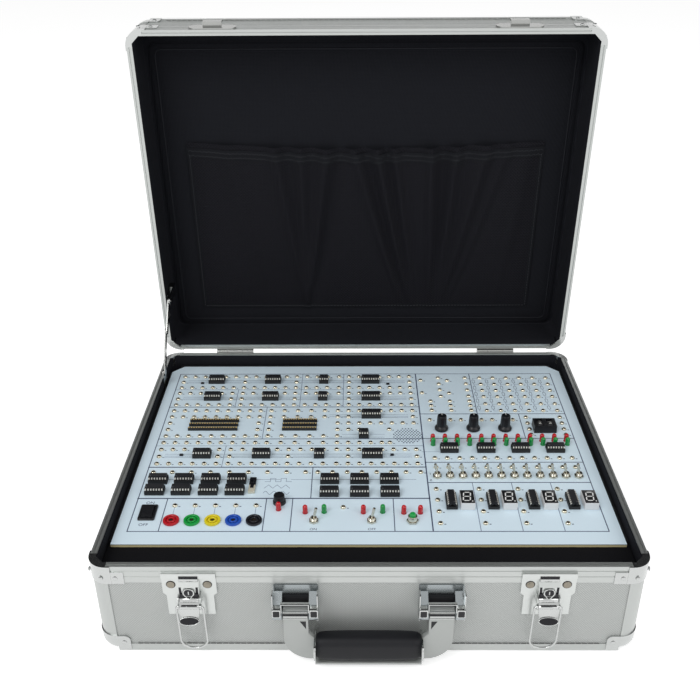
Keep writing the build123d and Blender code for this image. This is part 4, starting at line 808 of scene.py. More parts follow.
def blade_path(t):
    """Distance from the wall and height of the thumb lever's blade, from its pivot to its tip."""
    path = [(6.9, 67.6), (8.9, 64.2), (10.4, 61.0), (11.6, 57.4), (13.2, 53.2), (15.9, 49.1)]
    s = t * (len(path) - 1)
    i = min(int(s), len(path) - 2)
    return tuple(a + (b - a) * (s - i) for a, b in zip(path[i], path[i + 1]))


def blade(shape, here):
    """The lever's curved blade, cupped towards a round tip."""
    half_width, thickness = 8.2, 1.5
    rows, columns = 14, 12
    points = []
    for thick in (thickness, 0.0):
        for j in range(columns + 1):
            u = -1 + 2 * j / columns
            reach = 1 - 0.24 * (1 - sqrt(max(0, 1 - (abs(u) * 0.985) ** 2)))
            for i in range(rows + 1):
                t = reach * i / rows
                proud, height = blade_path(t)
                cup = max(0, t - 0.45) * (u * u - 0.6)
                points.append((u * half_width, height - thick * 0.45, proud + cup - thick * 0.9))
    n, skin = rows + 1, (rows + 1) * (columns + 1)
    sheet = grid_faces(rows, columns)
    faces = sheet + [[skin + i for i in face] for face in sheet]
    for j in range(columns):
        for a in (j * n, j * n + rows):
            faces.append([a, a + n, a + n + skin, a + skin])
    for i in range(rows):
        for a in (i, columns * n + i):
            faces.append([a, a + 1, a + 1 + skin, a + skin])
    shape.add(points, faces, here)


def lever_piece(name, at, finish_, dark):
    """The thumb lever: barrel, boss and a blade that ends in a hollowed tip with a rolled edge."""
    shape = Shape()
    here = on_front(at, 0)
    half_barrel = 8.2
    for proud, height, radius in ((5.5, 66.5, 2.6), (lever_proud, lever_height, 2.4)):
        place = here @ moved(0, height, proud) @ turned(90, "Y")
        shape.lathe(rod(radius, half_barrel, 0.4), place, sides=20)
    blade(shape, here)
    tip = here @ moved(0, 51.5, 14.85) @ turned(-33.4, "X")
    oval = circle(32, 7.9, other=3.1)
    # painted shade: a dark oval in the hollowed tip
    shape.prism(oval, -0.4, 0.2, tip, 1)
    shape.tube([(x * 1.02, y * 1.05, 0.1) for x, y in oval], 0.42, tip, sides=8, closed=True)
    # painted shadow: a dark line across the blade near its top
    shape.block(13.0, 0.9, -0.3, 0.25, here @ moved(0, 63.6, 10.2), 1)
    for side in (-1, 1):
        boss = here @ moved(side * 9.1, lever_height, lever_proud) @ turned(90, "Y")
        shape.lathe([(0, -0.8), (2.1, -0.8), (2.3, -0.5), (2.3, 0.5), (2.1, 0.8), (0, 0.8)], boss, sides=18)
    stands_for = (f"latch_lever_{name}",)
    shape.piece(
        f"latch_thumb_{name}", [finish_, dark], f"lever_{name}", "steel", hard=50, replaces=stands_for
    )


def bail_piece(name, at, finish_):
    """The round wire loop that hangs from the lever."""
    here = on_front(at, lever_height, lever_proud) @ turned(3.4, "X")
    leg, drop, bend, small = 11.1, 50.0, 10.3, 1.8
    path = [(-leg + 6, 0)]
    path += arc((-leg + small, -small), small, 90, 180, 5)
    path += arc((-leg + bend, -drop + bend), bend, 180, 270, 10)
    path += arc((leg - bend, -drop + bend), bend, 270, 360, 10)
    path += arc((leg - small, -small), small, 0, 90, 5)
    path += [(leg - 6, 0)]
    shape = Shape().tube(level(path, 0), 0.95, here, sides=14)
    stands_for = (f"latch_bail_{name}",)
    shape.piece(
        f"latch_wire_{name}", [finish_], f"bail_{name}", "bright_metal", hard=60, replaces=stands_for
    )


# ------------------------------------------------------------------ carrying handle
pin_height, pin_proud = 56, 9.5  # of the handle's pivots, on the front wall
bracket_places = (-60, 60)
arm_half = 10.65
grip_height, grip_proud = 22.0, 12.75


def handle_parts():
    """The carrying handle's arms, hollows, collars and grip, and the brackets' bright knuckles."""
    # painted shade: a dark finish for the shadows on the handle and its brackets
    painted_shade = finish("casting_painted_shade", (34, 34, 37), rough=0.4, metal=0.5, tone=0.3)
    handle_arms()
    handle_hollows(painted_shade)
    bracket_knuckles(painted_shade)
    collars = Shape()
    for side in (-1, 1):
        place = on_front(side * 44.6, grip_height, grip_proud) @ turned(90, "Y")
        collars.prism(rounded(25.6, 16.6, 5.5, 5), -0.9, 0.9, place, edge=0.3)
    collars.piece("handle_collars", [bright_finish()], "handle", "bright_metal")
    grip_piece()


def handle_arms():
    """Two satin castings that hook under the grip, with their pivot barrels and the bar between them."""
    satin = finish("satin_handle_casting", (172, 175, 173), rough=0.42, metal=0.5, tone=0.06, depth=0.12)
    foot, bend, end = 6.5, 23, 44.0
    shape = Shape()
    for x in bracket_places:
        outer, inner = abs(x) + arm_half, abs(x) - arm_half
        outline = [(inner, pin_height), (inner, 36), (end + 1, 31), (end, 30), (end, foot)]
        outline += arc((outer - bend, foot + bend), bend, 270, 360, 14)
        outline += [(outer, pin_height)]
        if x < 0:
            outline = [(-a, b) for a, b in reversed(outline)]
        shape.prism(outline, 8.0, 13.5, base_front, edge=1.3)
        barrel = on_front(x, pin_height, pin_proud) @ turned(90, "Y")
        shape.lathe(
            [(0, -10.6), (4.9, -10.6), (5.5, -10.1), (5.5, 10.1), (4.9, 10.6), (0, 10.6)], barrel, sides=28
        )
    shape.block(89.0, 14.0, 6.5, 9.0, on_front(0, 0, grip_proud) @ turned(-90, "X"), edge=0.5)
    shape.piece("handle_arms", [satin], "handle", "bright_metal", replaces=("handle_frame",))


def handle_hollows(painted_shade):
    """The castings' dark cut-outs, and the shadow and shine along their barrels."""
    # bands along the barrels: mark 0 is painted shadow, mark 1 a painted highlight
    bands = ((57.4, 3.2, 14.0, 15.2, 0), (60.2, 1.0, 12.0, 14.0, 1), (54.7, 0.9, 14.0, 15.4, 1))
    shape = Shape()
    for x in bracket_places:
        side = 1 if x > 0 else -1
        # painted shade: a dark triangle standing for each cut-out
        outline = [(side * 51.5, 50), (side * 56.6, 50), (side * 51.5, 41.2)]
        if side < 0:
            outline.reverse()
        shape.prism(outline, 13.2, 13.56, base_front)
        # painted highlight: a bright rod along each barrel
        pin = on_front(x, 56.6, 12.6) @ turned(90, "Y")
        shape.lathe(
            [(0, -10.4), (2.3, -10.4), (2.7, -10.0), (2.7, 10.0), (2.3, 10.4), (0, 10.4)], pin, 1, sides=24
        )
        for height, tall, low, top, mark in bands:
            shape.block(20.6, tall, low, top, on_front(x, height), mark, edge=0.2)
    shape.piece("handle_arm_hollows", [painted_shade, bright_finish()], "handle", "bright_metal")


def bracket_knuckles(painted_shade):
    """The square knuckles, side ribs and window edges of both handle brackets."""
    knuckle_reach, rib_reach, window_reach, window_top = 15.3, 18.4, 11.2, 70.3
    shape = Shape()
    for x in bracket_places:
        for end in (-1, 1):
            at = on_front(x + end * knuckle_reach, 60.6)
            shape.prism(rounded(7.6, 9.0, 1.6, 4), 9.0, 16.3, at, edge=1.1)
            # painted reflection: a dark square on each knuckle's face
            shape.prism(rounded(5.4, 6.2, 0.8, 3), 16.2, 16.45, at, 1)
            shape.block(0.9, 27, 6.0, 13.9, on_front(x + end * rib_reach, 64.5), edge=0.3)
            shape.block(0.9, 9.0, 12.6, 16.0, on_front(x + end * window_reach, 66.0), edge=0.3)
        shape.block(23.2, 0.9, 12.6, 16.0, on_front(x, window_top), edge=0.3)
        # painted shadow: a dark block behind the bracket, under its top
        shape.block(21.2, 12.0, 0.4, 3.2, on_front(x, 61.0), 1)
    shape.piece("bracket_knuckles", [bright_finish(), painted_shade], "base", "bright_metal")


def grip_piece():
    """The moulded grip, fuller in the middle and eased at both ends."""
    rubber = finish(
        "grip_rubber", (21, 22, 26), rough=0.5, tone=0.2, grain=0.0005, depth=0.35, Specular_IOR_Level=0.25
    )
    half, stations = 43.7, 28
    rings = []
    for i in range(stations + 1):
        t = -1 + 2 * i / stations
        ease = 1 - 0.10 * abs(t) ** 6 - (0.12 if abs(t) > 0.999 else 0)
        scale = (1 - 0.035 * t * t, ease)
        rings.append(
            [
                (half * t, grip_height + y * scale[0] * scale[1], grip_proud + z * scale[0] * scale[1])
                for y, z in rounded(26, 17, 7.2, 7)
            ]
        )
    shape = Shape().rings(rings, base_front)
    shape.piece(
        "handle_rubber_grip", [rubber], "handle", "grip_plastic", hard=60, replaces=("handle_grip",)
    )


# ------------------------------------------------------------------ circuit board
# The printed panel's edges and divisions, across from the middle and up from the front wall
left_edge, divide, right_edge = -210, 56.9, 209.4
front_edge, low_row, mid_row, rear_edge = 56, 101.8, 149.7, 327
# (x from, x to, height, width)
level_lines = (
    (left_edge, right_edge, rear_edge, 0.9), (left_edge, right_edge, front_edge, 0.9),
    (left_edge, -24.3, 293, 0.6), (left_edge, divide, 257.4, 1.0), (left_edge, divide, 197.5, 1.0),
    (left_edge, divide, 185.4, 0.6), (left_edge, divide, mid_row, 1.4), (left_edge, divide, low_row, 1.4),
    (divide, right_edge, 243.5, 1.0), (divide, right_edge, 198, 1.0),
    (divide, right_edge, 157.4, 1.0), (divide, right_edge, 125.4, 1.0),
)
# (x, height from, height to, width)
upright_lines = (
    (left_edge, front_edge, rear_edge, 0.9),
    (right_edge, front_edge, rear_edge, 0.9),
    (divide, front_edge, rear_edge, 1.2),
    (-182.8, front_edge, low_row, 0.8), (-92.1, front_edge, low_row, 0.8),
    (-68.1, front_edge, low_row, 0.8), (23.6, front_edge, low_row, 0.8), (-51.8, low_row, mid_row, 0.8),
    (98.6, front_edge, 125.4, 0.7), (135.1, front_edge, 125.4, 0.7), (171.5, front_edge, 125.4, 0.7),
    (117.4, 243.5, rear_edge, 0.8), (160.6, 198, 243.5, 0.8),
    (-140, 257.4, 293, 0.6), (-140, mid_row, 185.4, 0.6), (-105.3, 197.5, 257.4, 0.7),
    (-70.8, 257.4, rear_edge, 0.6), (-24.3, 257.4, rear_edge, 0.6),
)
print_foot, print_face = -0.02, 0.06  # of the ink, from the board's face
eyelet_clear = 2.8  # from a terminal's middle to the end of its line


def print_ink(kind):
    """The screen print's ink; the fine lines come out paler."""
    if kind == "fine":
        return finish("screen_print_fine", (122, 136, 160), rough=0.5, tone=0.2)
    return finish("screen_print_ink", (70, 80, 108), rough=0.5, tone=0.15)


def print_line(shape, start, end, width=0.4, mark=1):
    """One printed line between two places on the board."""
    (xa, ya), (xb, yb) = start, end
    at = on_board((xa + xb) / 2, (ya + yb) / 2) @ Matrix.Rotation(atan2(yb - ya, xb - xa), 4, "Z")
    shape.block(hypot(xb - xa, yb - ya) + width, width, -0.02, 0.05, at, mark)


def jack_lines(shape, terminals):
    """A line from each banana socket to the terminal above it."""
    for x, y in centres("banana_sockets"):
        near = min((t for t in terminals if t[1] > y + 8), key=lambda t: hypot(t[0] - x, t[1] - y))
        print_line(shape, (x, y + 7.6), (near[0], near[1] - eyelet_clear))


def part_outlines(shape, terminals):
    """A part's outline, wired to both, beside each stacked pair of terminals in the right field."""
    field = sorted(t for t in terminals if t[0] > 122 and t[1] > 206)
    half_width, half_height = 1.3, 3
    for x, y in field:
        above = [t for t in field if abs(t[0] - x) < 3.5 and 7 < t[1] - y < 16]
        if not above:
            continue
        ax, ay = above[0]
        at, middle = (x + ax) / 2 - 7.5, (y + ay) / 2
        corners = ((-1, -1), (1, -1), (1, 1), (-1, 1))
        box = [(at + side * half_width, middle + end * half_height) for side, end in corners]
        for a, b in zip(box, box[1:] + box[:1]):
            print_line(shape, a, b, 0.4, 0)
        for end, tx, ty in ((half_height, ax, ay), (-half_height, x, y)):
            print_line(shape, (at, middle + end), (at, ty))
            print_line(shape, (at, ty), (tx - eyelet_clear, ty))


def chip_lines(shape, terminals):
    """Lines from each lying chip to the terminals at its sides."""
    for low, high in islands("chips"):
        if high.x - low.x <= high.y - low.y:
            continue
        middle = (low.y + high.y) / 2 - board_front
        for x, y in terminals:
            rise = y - middle
            gap = low.x - x if x < low.x else x - high.x
            if x >= divide or gap <= 0 or gap > 42 or not 1.5 <= abs(rise) <= 16:
                continue
            start = low.x - 1.2 if x < low.x else high.x + 1.2
            height = middle + max(-2.6, min(2.6, rise * 0.3))
            end = x + (5.2 if start > x else -5.2)
            print_line(shape, (start, height), (end, height), 0.42)


def wave_forms():
    """The square, triangle and sine signs: their heights on the board and their points."""
    square = [(0, 0), (5, 0), (5, 5), (10, 5), (10, 0), (15, 0), (15, 5), (20, 5), (20, 0), (25, 0)]
    triangle = [(4 * k, 5 * (k % 2)) for k in range(7)]
    sine = [(1.2 * k, 2.5 + 2.5 * sin(1.2 * k * 0.8)) for k in range(21)]
    return ((87.6, square), (77.6, triangle), (68.2, sine))


def board_print():
    """The screen print: divisions, connections, wave forms and the switches' plain marks."""
    ink, fine_ink = print_ink("bold"), print_ink("fine")
    shape = Shape()
    for x0, x1, y, width in level_lines:
        at = moved((x0 + x1) / 2, y + front_wall, board_top)
        shape.block(x1 - x0 + width, width, print_foot, print_face, at, mark=0 if width > 0.65 else 1)
    for x, y0, y1, width in upright_lines:
        at = moved(x, (y0 + y1) / 2 + front_wall, board_top)
        shape.block(width, y1 - y0, print_foot, print_face, at, mark=0 if width > 0.75 else 1)
    for y, line in wave_forms():
        for (xa, ya), (xb, yb) in zip(line, line[1:]):
            at = on_board((xa + xb) / 2 - 96.0, (ya + yb) / 2 + y)
            at = at @ Matrix.Rotation(atan2(yb - ya, xb - xa), 4, "Z")
            shape.block(hypot(xb - xa, yb - ya) + 0.4, 0.45, print_foot, print_face, at, mark=1)
    terminals = centres("terminals")
    jack_lines(shape, terminals)
    part_outlines(shape, terminals)
    chip_lines(shape, terminals)
    shape.piece("board_printed_lines", [ink, fine_ink], "base", "board_face")
    lettering(
        "board_switch_marks",
        (
            ("ON", -197.5, 56.0, 3.6), ("OFF", -197.8, 25.6, 3.6),
            ("ON", -47.6, 19.6, 3.0), ("OFF", 3.5, 19.6, 3.0),
            ("1", 60.2, 99.6, 3.2), ("0", 60.2, 89.5, 3.2),
        ),
        ink,
    )
    small = finish("small_board_part", (26, 27, 32), rough=0.4, tone=0.2)
    parts = Shape()
    for x, y in ((-182, 266.7), (25, 264.7), (-182, 129.7), (25, 129.7)):
        parts.block(3.4, 2.4, 0, 1.7, on_board(x, y), edge=0.25)
    parts.piece("small_board_parts", [small], "base", "black_plastic")


def add_text(shape, text, size, at, mark=0, extrude=0.0):
    """A word or number, centred on its place."""
    curve = bpy.data.curves.new("word", "FONT")
    curve.body = text
    curve.size = size
    curve.align_x = curve.align_y = "CENTER"
    curve.extrude = extrude
    holder = linked("word", curve)
    mesh = finished_mesh(holder)
    shape.add([tuple(v.co) for v in mesh.vertices], [list(p.vertices) for p in mesh.polygons], at, mark)
    bpy.data.objects.remove(holder)


def lettering(name, words, ink):
    """Plain words and numbers, flat on the board."""
    shape = Shape()
    for text, x, y, size in words:
        add_text(shape, text, size * 1.35, on_board(x, y, 0.03), extrude=0.03)
    return shape.piece(name, [ink], "base", "board_face")


def board_and_supports():
    """The circuit panel with its print, the speaker's openings, the foam strip and the battens."""
    face = screen_values(bpy.context.scene.trainer_colours.board)
    # under the face a thin dark band, and below it the beige edge
    bare, dark_band, whole = (0.0851, (232, 219, 170)), (0.0857, (70, 72, 84)), (1, face)
    laminate = layered("board_laminate", [bare, dark_band, whole], rough=0.34, tone=0.05, depth=0.05)
    dress("circuit_board", laminate)
    dress("speaker", dark_plastic())
    board_print()
    speaker_openings()
    supports()


def speaker_openings():
    """Small dark holes in staggered rows over the speaker."""
    middle_x, middle_y, reach, radius = 42, 163.7, 14.2, 0.85
    pitch_x, pitch_y = 3.1, 2.5
    hole = Shape().lathe([(radius, 0), (radius, 0.07), (0, 0.07)], sides=8)
    places = []
    for i in range(-5, 6):
        for j in range(-6, 7):
            x, y = (i + 0.5 * (j % 2)) * pitch_x, j * pitch_y
            if hypot(x, y) < reach:
                places.append(on_board(middle_x + x, middle_y + y))
    # painted shade: the dark colour of the holes
    dark = finish("hole_painted_shade", (62, 72, 96), rough=0.8, tone=0.3)
    repeated("speaker_openings", hole, places, dark, "base")


def supports():
    """The foam strip in front of the board and the wooden battens under it."""
    foam = cloth("black_foam", (17, 17, 20), rough=0.95, tone=0.5, grain=0.0009, depth=0.8)
    strip_depth, strip_foot, strip_top, clear = 41.8, 5.5, 82.7, 0.2
    outline = rounded(2 * (half_lining_x - clear), 2 * (half_lining_y - clear), 10.3, 6)
    back = strip_depth - half_lining_y
    front = [(x, max(min(y, back), clear - half_lining_y)) for x, y in outline if y <= 0]
    left_end = min(x for x, _ in front)
    front = [(left_end, back)] + front + [(-left_end, back)]
    front = list(dict.fromkeys((round(x, 3), round(y, 3)) for x, y in front))
    shape = Shape().prism(front, strip_foot, strip_top, edge=1.6, foot_edge=0.0)
    piece = shape.piece("front_foam", [foam], "base", "lining", hard=50)
    wood = finish("painted_batten", (21, 22, 26), rough=0.7, tone=0.3, grain=0.002, depth=0.3)
    wooden = Shape()
    for low, high in islands("board_battens"):
        if low.y < -170:  # the foam strip's own solid
            continue
        size, middle = high - low, (low + high) / 2
        wooden.block(size.x, size.y, low.z, high.z, moved(middle.x, middle.y), edge=0.6)
    wooden.piece("support_battens", [wood], "base", "board_foam", replaces=("board_battens",))


# ------------------------------------------------------------------ small parts on the board
pin_pitch = 2.54
strip_rows = (-8.0, -0.4, 7.2)  # of the socket strips, from the middle of their solids
knob_row, knob_columns = 175.7, (77.2, 109.7, 142.1)
logic_columns = [66.5 + 12.15 * k for k in range(12)]
source_columns = [-47.6, 3.5]
toggle_lean = 12.0
button_place, rocker_place, fuse_place = (39.6, 30.2), (-196.8, 41.8), (-80.0, 56.6)
slide_x, slide_y = -107.0, 80.2
thumbwheel_x, thumbwheel_y, thumbwheel_reach = 182.25, 175.9, 5.2


def eyelets():
    """The terminals: a polished cone and cap with a small bore, and a printed mark beside each."""
    sizes = bpy.context.scene.trainer_sizes
    radius, height, hole = sizes.eyelet_radius, sizes.eyelet_height, sizes.eyelet_hole
    floor = height * 0.7
    cone = ((1, 0), (0.99, 0.3 / height), (0.85, 0.55), (0.78, 0.7), (0.66, 0.83), (0.48, 0.93))
    lip = ((1.25, 0.985), (1.05, 1), (1, 0.94), (0.95, 0.7), (0, 0.7))
    profile = [(radius * r, height * z) for r, z in cone] + [(hole * r, height * z) for r, z in lip]
    unit = Shape().lathe(profile, sides=12)
    chrome = finish(
        "polished_eyelet", (232, 225, 204), rough=0.1, metal=1.0, tone=0.1, rough_spread=0.08, depth=0.02
    )
    terminals = centres("terminals")
    places = [on_board(x, y) for x, y in terminals]
    repeated(
        "terminal_eyelets", unit, places, chrome, "base", hard=60, replaces=("terminals",)
    )
    # painted shade: a dark disc at the floor of each bore
    bore_shade = Shape().lathe([(hole * 0.93, floor), (hole * 0.9, floor + 0.05), (0, floor + 0.05)], sides=10)
    dark = finish("bore_painted_shade", (30, 27, 24), rough=0.6, tone=0.3)
    repeated("terminal_bores", bore_shade, places, dark, "base")
    marks = [on_board(x + 4.1, y - 0.8) for x, y in terminals]
    dash = Shape().block(1.7, 0.95, -0.02, 0.05)
    repeated("terminal_marks", dash, marks, print_ink("bold"), "base")


def chip_parts():
    """The chips with notch, dimple and pins, and their sockets."""
    dark = finish("chip_epoxy", (27, 28, 32), rough=0.48, tone=0.15, depth=0.2, Specular_IOR_Level=0.35)
    tin = finish("tinned_pin", (240, 238, 230), rough=0.4, metal=0.25, tone=0.1)
    dimple = finish("chip_mark_dimple", (92, 92, 94), rough=0.6, tone=0.2)
    body_layers = ((0.35, 4.5), (0, 6.1), (0.15, 6.2), (0.45, 7.75))  # (set in, height)
    pin_reach, pin_foot = 3.85, 4.0
    bodies, sockets, pins, marks = Shape(), Shape(), [], Shape()
    for low, high in islands("chips"):
        size, middle = high - low, (low + high) / 2
        upright = size.y > size.x
        length, breadth = (size.y, size.x) if upright else (size.x, size.y)
        at = moved(middle.x, middle.y, board_top) @ turned(90 if upright else 0, "Z")
        sockets.block(length, 10.0, 0, 3.2, at, edge=0.3)
        for side in (-1, 1):
            sockets.block(length, 1.9, 3.2, 4.3, at @ moved(0, side * 4.05), edge=0.2)
        half, deep = length / 2 - 0.15, breadth / 2
        notch = arc((-half, 0), 1.0, 90, -90, 6)
        outline = [(half, deep), (-half, deep)] + notch + [(-half, -deep), (half, -deep)]
        bodies.rings([level(inset(outline, d), z) for d, z in body_layers], at)
        dot = at @ moved(-half + 1.9, -deep + 1.5)
        marks.lathe([(0.55, 7.72), (0.55, 7.79), (0, 7.79)], dot, sides=10)
        count = round(length / pin_pitch)
        for k in range(count):
            along = (k - (count - 1) / 2) * pin_pitch
            for side in (-1, 1):
                foot = at @ moved(along, side * pin_reach, pin_foot)
                pins.append(foot @ turned(0 if side > 0 else 180, "Z"))
    pin = Shape().block(1.25, 0.35, 0.9, 2.5)
    pin.block(1.25, 0.9, 2.1, 2.5, moved(0, -0.5))
    sockets_piece(sockets)
    bodies.piece("chip_bodies", [dark], "base", "black_plastic", replaces=("chips",))
    marks.piece("chip_marks", [dimple], "base", "black_plastic")
    repeated("chip_pins", pin, pins, tin, "base")


def sockets_piece(shape):
    """The chip sockets, and the strips of three rows whose gold contacts stand in black bodies."""
    moulding = finish("socket_moulding", (18, 19, 22), rough=0.5, tone=0.2)
    strips = {}
    for low, high in islands("chip_sockets"):
        if high.z - board_top < 3.5:
            strips.setdefault(round(low.x), []).append((low, high))
    gold_places = []
    for rows in strips.values():
        middle = sum((low.y + high.y) / 2 for low, high in rows) / len(rows)
        low, high = rows[0]
        for offset in strip_rows:
            for k in range(round((high.x - low.x) / pin_pitch)):
                at = moved(low.x + pin_pitch * (k + 0.5) + 1.0, middle + offset, board_top)
                shape.block(2.5, 2.6, 0, 3.3, at, edge=0.25)
                gold_places.append(at @ moved(0, 0, 3.25))
    shape.piece("socket_blocks", [moulding], "base", "socket_plastic", replaces=("chip_sockets",))
    contact = Shape().block(1.25, 1.5, 0, 0.75, edge=0.15)
    gold = finish("gold_contact", (238, 208, 140), rough=0.4, metal=0.35, tone=0.12)
    repeated("header_contacts", contact, gold_places, gold, "base")


def lamps():
    """Round-topped lamps with a collar, on every place of their node."""
    collar = [(2.5, 0), (2.5, 0.9), (2.42, 1.1), (2.3, 1.15)]
    dome = [(2.3, 6.3), (2.15, 7.2), (1.7, 7.95), (1.0, 8.45), (0.4, 8.6), (0, 8.6)]
    unit = Shape().lathe(collar + dome, sides=18)
    for name in ("red", "green"):
        node = f"leds_{name}"
        colour = screen_values(getattr(bpy.context.scene.trainer_colours, name))
        lens = finish(
            f"{node}_lens", colour, rough=0.22, tone=0.1, depth=0.0, Subsurface_Weight=0.25, Coat_Weight=0.3
        )
        places = [on_board(x, y) for x, y in centres(node)]
        repeated(f"{node}_lamps", unit, places, lens, "base", hard=40, replaces=(node,))


def displays():
    """Digit displays: white cases, black faces and slanted bars with a point."""
    body = finish("display_case", (230, 232, 233), rough=0.5, tone=0.06)
    face = finish("display_face", (24, 25, 28), rough=0.28, tone=0.2)
    lit = finish("display_segment", (226, 227, 226), rough=0.5, tone=0.06)
    slope = Matrix(((1, 0.12, 0, 0), (0, 1, 0, 0), (0, 0, 1, 0), (0, 0, 0, 1)))
    bar_point = 0.55
    level_bars = [(0, dy, 2.5, False) for dy in (5.9, 0, -5.9)]
    upright_bars = [(dx, dy, 2.45, True) for dy in (3.0, -3.0) for dx in (-3.1, 3.1)]
    cases, windows, segments = Shape(), Shape(), Shape()
    for x, y in centres("digit_displays"):
        at = on_board(x, y)
        cases.block(12.6, 19.0, 0, 7.7, at, edge=0.3)
        windows.block(12.0, 18.4, 7.6, 8.0, at, edge=0.2)
        slant = at @ moved(-0.4, 0, 8.0) @ slope
        for dx, dy, half, upright in level_bars + upright_bars:
            inner = half - bar_point
            outline = [
                (half, 0), (inner, bar_point), (-inner, bar_point),
                (-half, 0), (-inner, -bar_point), (inner, -bar_point),
            ]
            if upright:
                outline = [(-b, a) for a, b in outline]
            segments.prism(outline, -0.05, 0.05, slant @ moved(dx, dy))
        segments.lathe([(0.7, -0.05), (0.7, 0.05), (0, 0.05)], slant @ moved(5.2, -6.6), sides=12)
    cases.piece("display_cases", [body], "base", "display_plastic", replaces=("digit_displays",))
    windows.piece("display_windows", [face], "base", "display_plastic")
    segments.piece("display_segments", [lit], "base", "display_plastic")


def banana_parts():
    """Five coloured sockets, each with a flange, a deep groove and a dark contact."""
    colours = (
        ("red", (188, 12, 28)),
        ("green", (4, 160, 62)),
        ("yellow", (226, 208, 22)),
        ("blue", (30, 84, 186)),
        ("black", (24, 25, 30)),
    )
    # painted shade: the contact's brass is darkened
    shaded_brass = finish("shaded_contact", (92, 74, 48), rough=0.4, metal=0.8, tone=0.2)
    bore_shade = finish("bore_painted_shade", (30, 27, 24), rough=0.6, tone=0.3)
    finishes = [
        finish(f"socket_{name}", value, rough=0.3, tone=0.08, Coat_Weight=0.2) for name, value in colours
    ]
    flange = [(0, 0), (7.0, 0), (7.25, 0.3), (7.25, 1.7), (7.0, 2.15), (6.6, 2.3), (5.3, 2.2), (5.05, 1.95)]
    groove = [(5.0, 0.45), (3.85, 0.45), (3.8, 1.9), (3.55, 2.2)]
    lip = [(2.35, 2.2), (2.15, 2.0), (2.1, 0.3), (0, 0.3)]
    rims, contacts, bore_shades = Shape(), Shape(), Shape()
    for number, (x, y) in enumerate(sorted(centres("banana_sockets"))):
        at = on_board(x, y)
        rims.lathe(flange + groove + lip, at, number, sides=32)
        rims.lathe([(0, -18), (3.9, -18), (3.9, 0.1), (0, 0.1)], at, number, sides=20)
        contacts.lathe([(2.06, 0.3), (2.06, 0.95), (1.75, 1.0), (1.6, 0.5), (0, 0.5)], at, sides=20)
        # painted shade: a dark disc inside each contact
        bore_shades.lathe([(1.55, 0.4), (1.55, 0.6), (0, 0.6)], at, sides=14)
    rims.piece("banana_jacks", finishes, "base", "socket_plastic", replaces=("banana_sockets",))
    contacts.piece("banana_contacts", [shaded_brass], "base", "bright_metal")
    bore_shades.piece("banana_bores", [bore_shade], "base", "bright_metal")


def switch_parts():
    """Toggles, potentiometers, button, slide switch, rocker, knobs, fuse and thumbwheels."""
    nickel = finish("toggle_nickel", (206, 202, 188), rough=0.16, metal=0.95, tone=0.12, depth=0.03)
    cream = finish("slide_plate", (214, 210, 192), rough=0.4, tone=0.1, metal=0.3)
    black = dark_plastic()
    mounts = Shape()
    toggles(mounts, nickel)
    mount_rings(mounts)
    mounts.piece(
        "switch_mounts", [nickel, black, cream], "base", "toggle_chrome", replaces=("switch_bodies",)
    )
    button_and_slider(black)
    dress("power_rocker", black)
    knobs(black)
    fuse(black)
    thumbwheels()


def toggle_place(node):
    """Where a toggle's bush stands, read from its lever's box, and the lever's lean."""
    low, high = islands(node)[0]
    lean = toggle_lean if node.startswith("source") else -toggle_lean
    reach = 0.85 * cos(radians(toggle_lean)) + 0.2
    foot_x = low.x + reach if lean > 0 else high.x - reach
    x = min(logic_columns + source_columns, key=lambda column: abs(column - foot_x))
    return on_board(x, (low.y + high.y) / 2 - board_front), lean


def toggles(mounts, nickel):
    """Nut, threaded bush and tapered lever of each toggle."""
    foot = [(0, -1), (0.8, -1), (0.85, 1.2), (1.1, 1.9), (1.12, 2.4)]
    tip = [(1.38, 10.4), (1.42, 10.9), (1.2, 11.3), (0.7, 11.4), (0, 11.4)]
    bush = [(3.0, 1.9), (3.05, 4.4), (2.75, 4.9), (2.2, 4.6), (1.9, 4.2), (0, 4.1)]
    for body, names in frame["record"]["behaviour"]["bodies"].items():
        for node in names:
            if "toggle" not in node:
                continue
            at, lean = toggle_place(node)
            mounts.prism(circle(6, 4.6, 0.5), 0, 2.0, at, edge=0.35)
            mounts.lathe(bush, at, sides=20)
            for k in range(4):
                thread = [(2.95, 2.15), (3.2, 2.4), (2.95, 2.65)]
                mounts.lathe([(r, z + 0.6 * k) for r, z in thread], at, sides=18)
            lever = Shape().lathe(foot + tip, at @ moved(0, 0, 3.7) @ turned(lean, "Y"), sides=16)
            lever.piece(f"{node}_lever", [nickel], body, "toggle_chrome", hard=50, replaces=(node,))


def mount_rings(mounts):
    """Nuts and bushes of the potentiometers and the button, the rocker's frame and the slide switch."""
    for x in knob_columns:
        at = on_board(x, knob_row)
        mounts.prism(circle(6, 4.5), 0, 1.8, at, edge=0.3)
        mounts.lathe([(2.9, 1.7), (2.9, 3.3), (2.6, 3.5), (0, 3.5)], at, sides=20)
    at = on_board(*button_place)
    mounts.prism(circle(6, 5.5), 0, 2.0, at, edge=0.35)
    mounts.lathe([(4.2, 1.9), (4.2, 6.0), (3.9, 6.45), (3.1, 6.5), (3.08, 5.6), (0, 5.6)], at, sides=28)
    outer, inner = rounded(15, 21, 1.2, 4), rounded(10.4, 17.2, 0.5, 4)
    frame_ring(mounts, outer, inner, 0.0, 1.6, on_board(*rocker_place), 1)
    at = on_board(slide_x, slide_y)
    mounts.block(6.0, 10.4, 0, 3.0, at @ moved(0, 5.5), 1, edge=0.3)
    mounts.block(6.0, 10.4, 0, 2.6, at @ moved(0, -5.5), 2, edge=0.3)
    mounts.block(3.2, 10.6, 2.5, 3.06, at, 1)


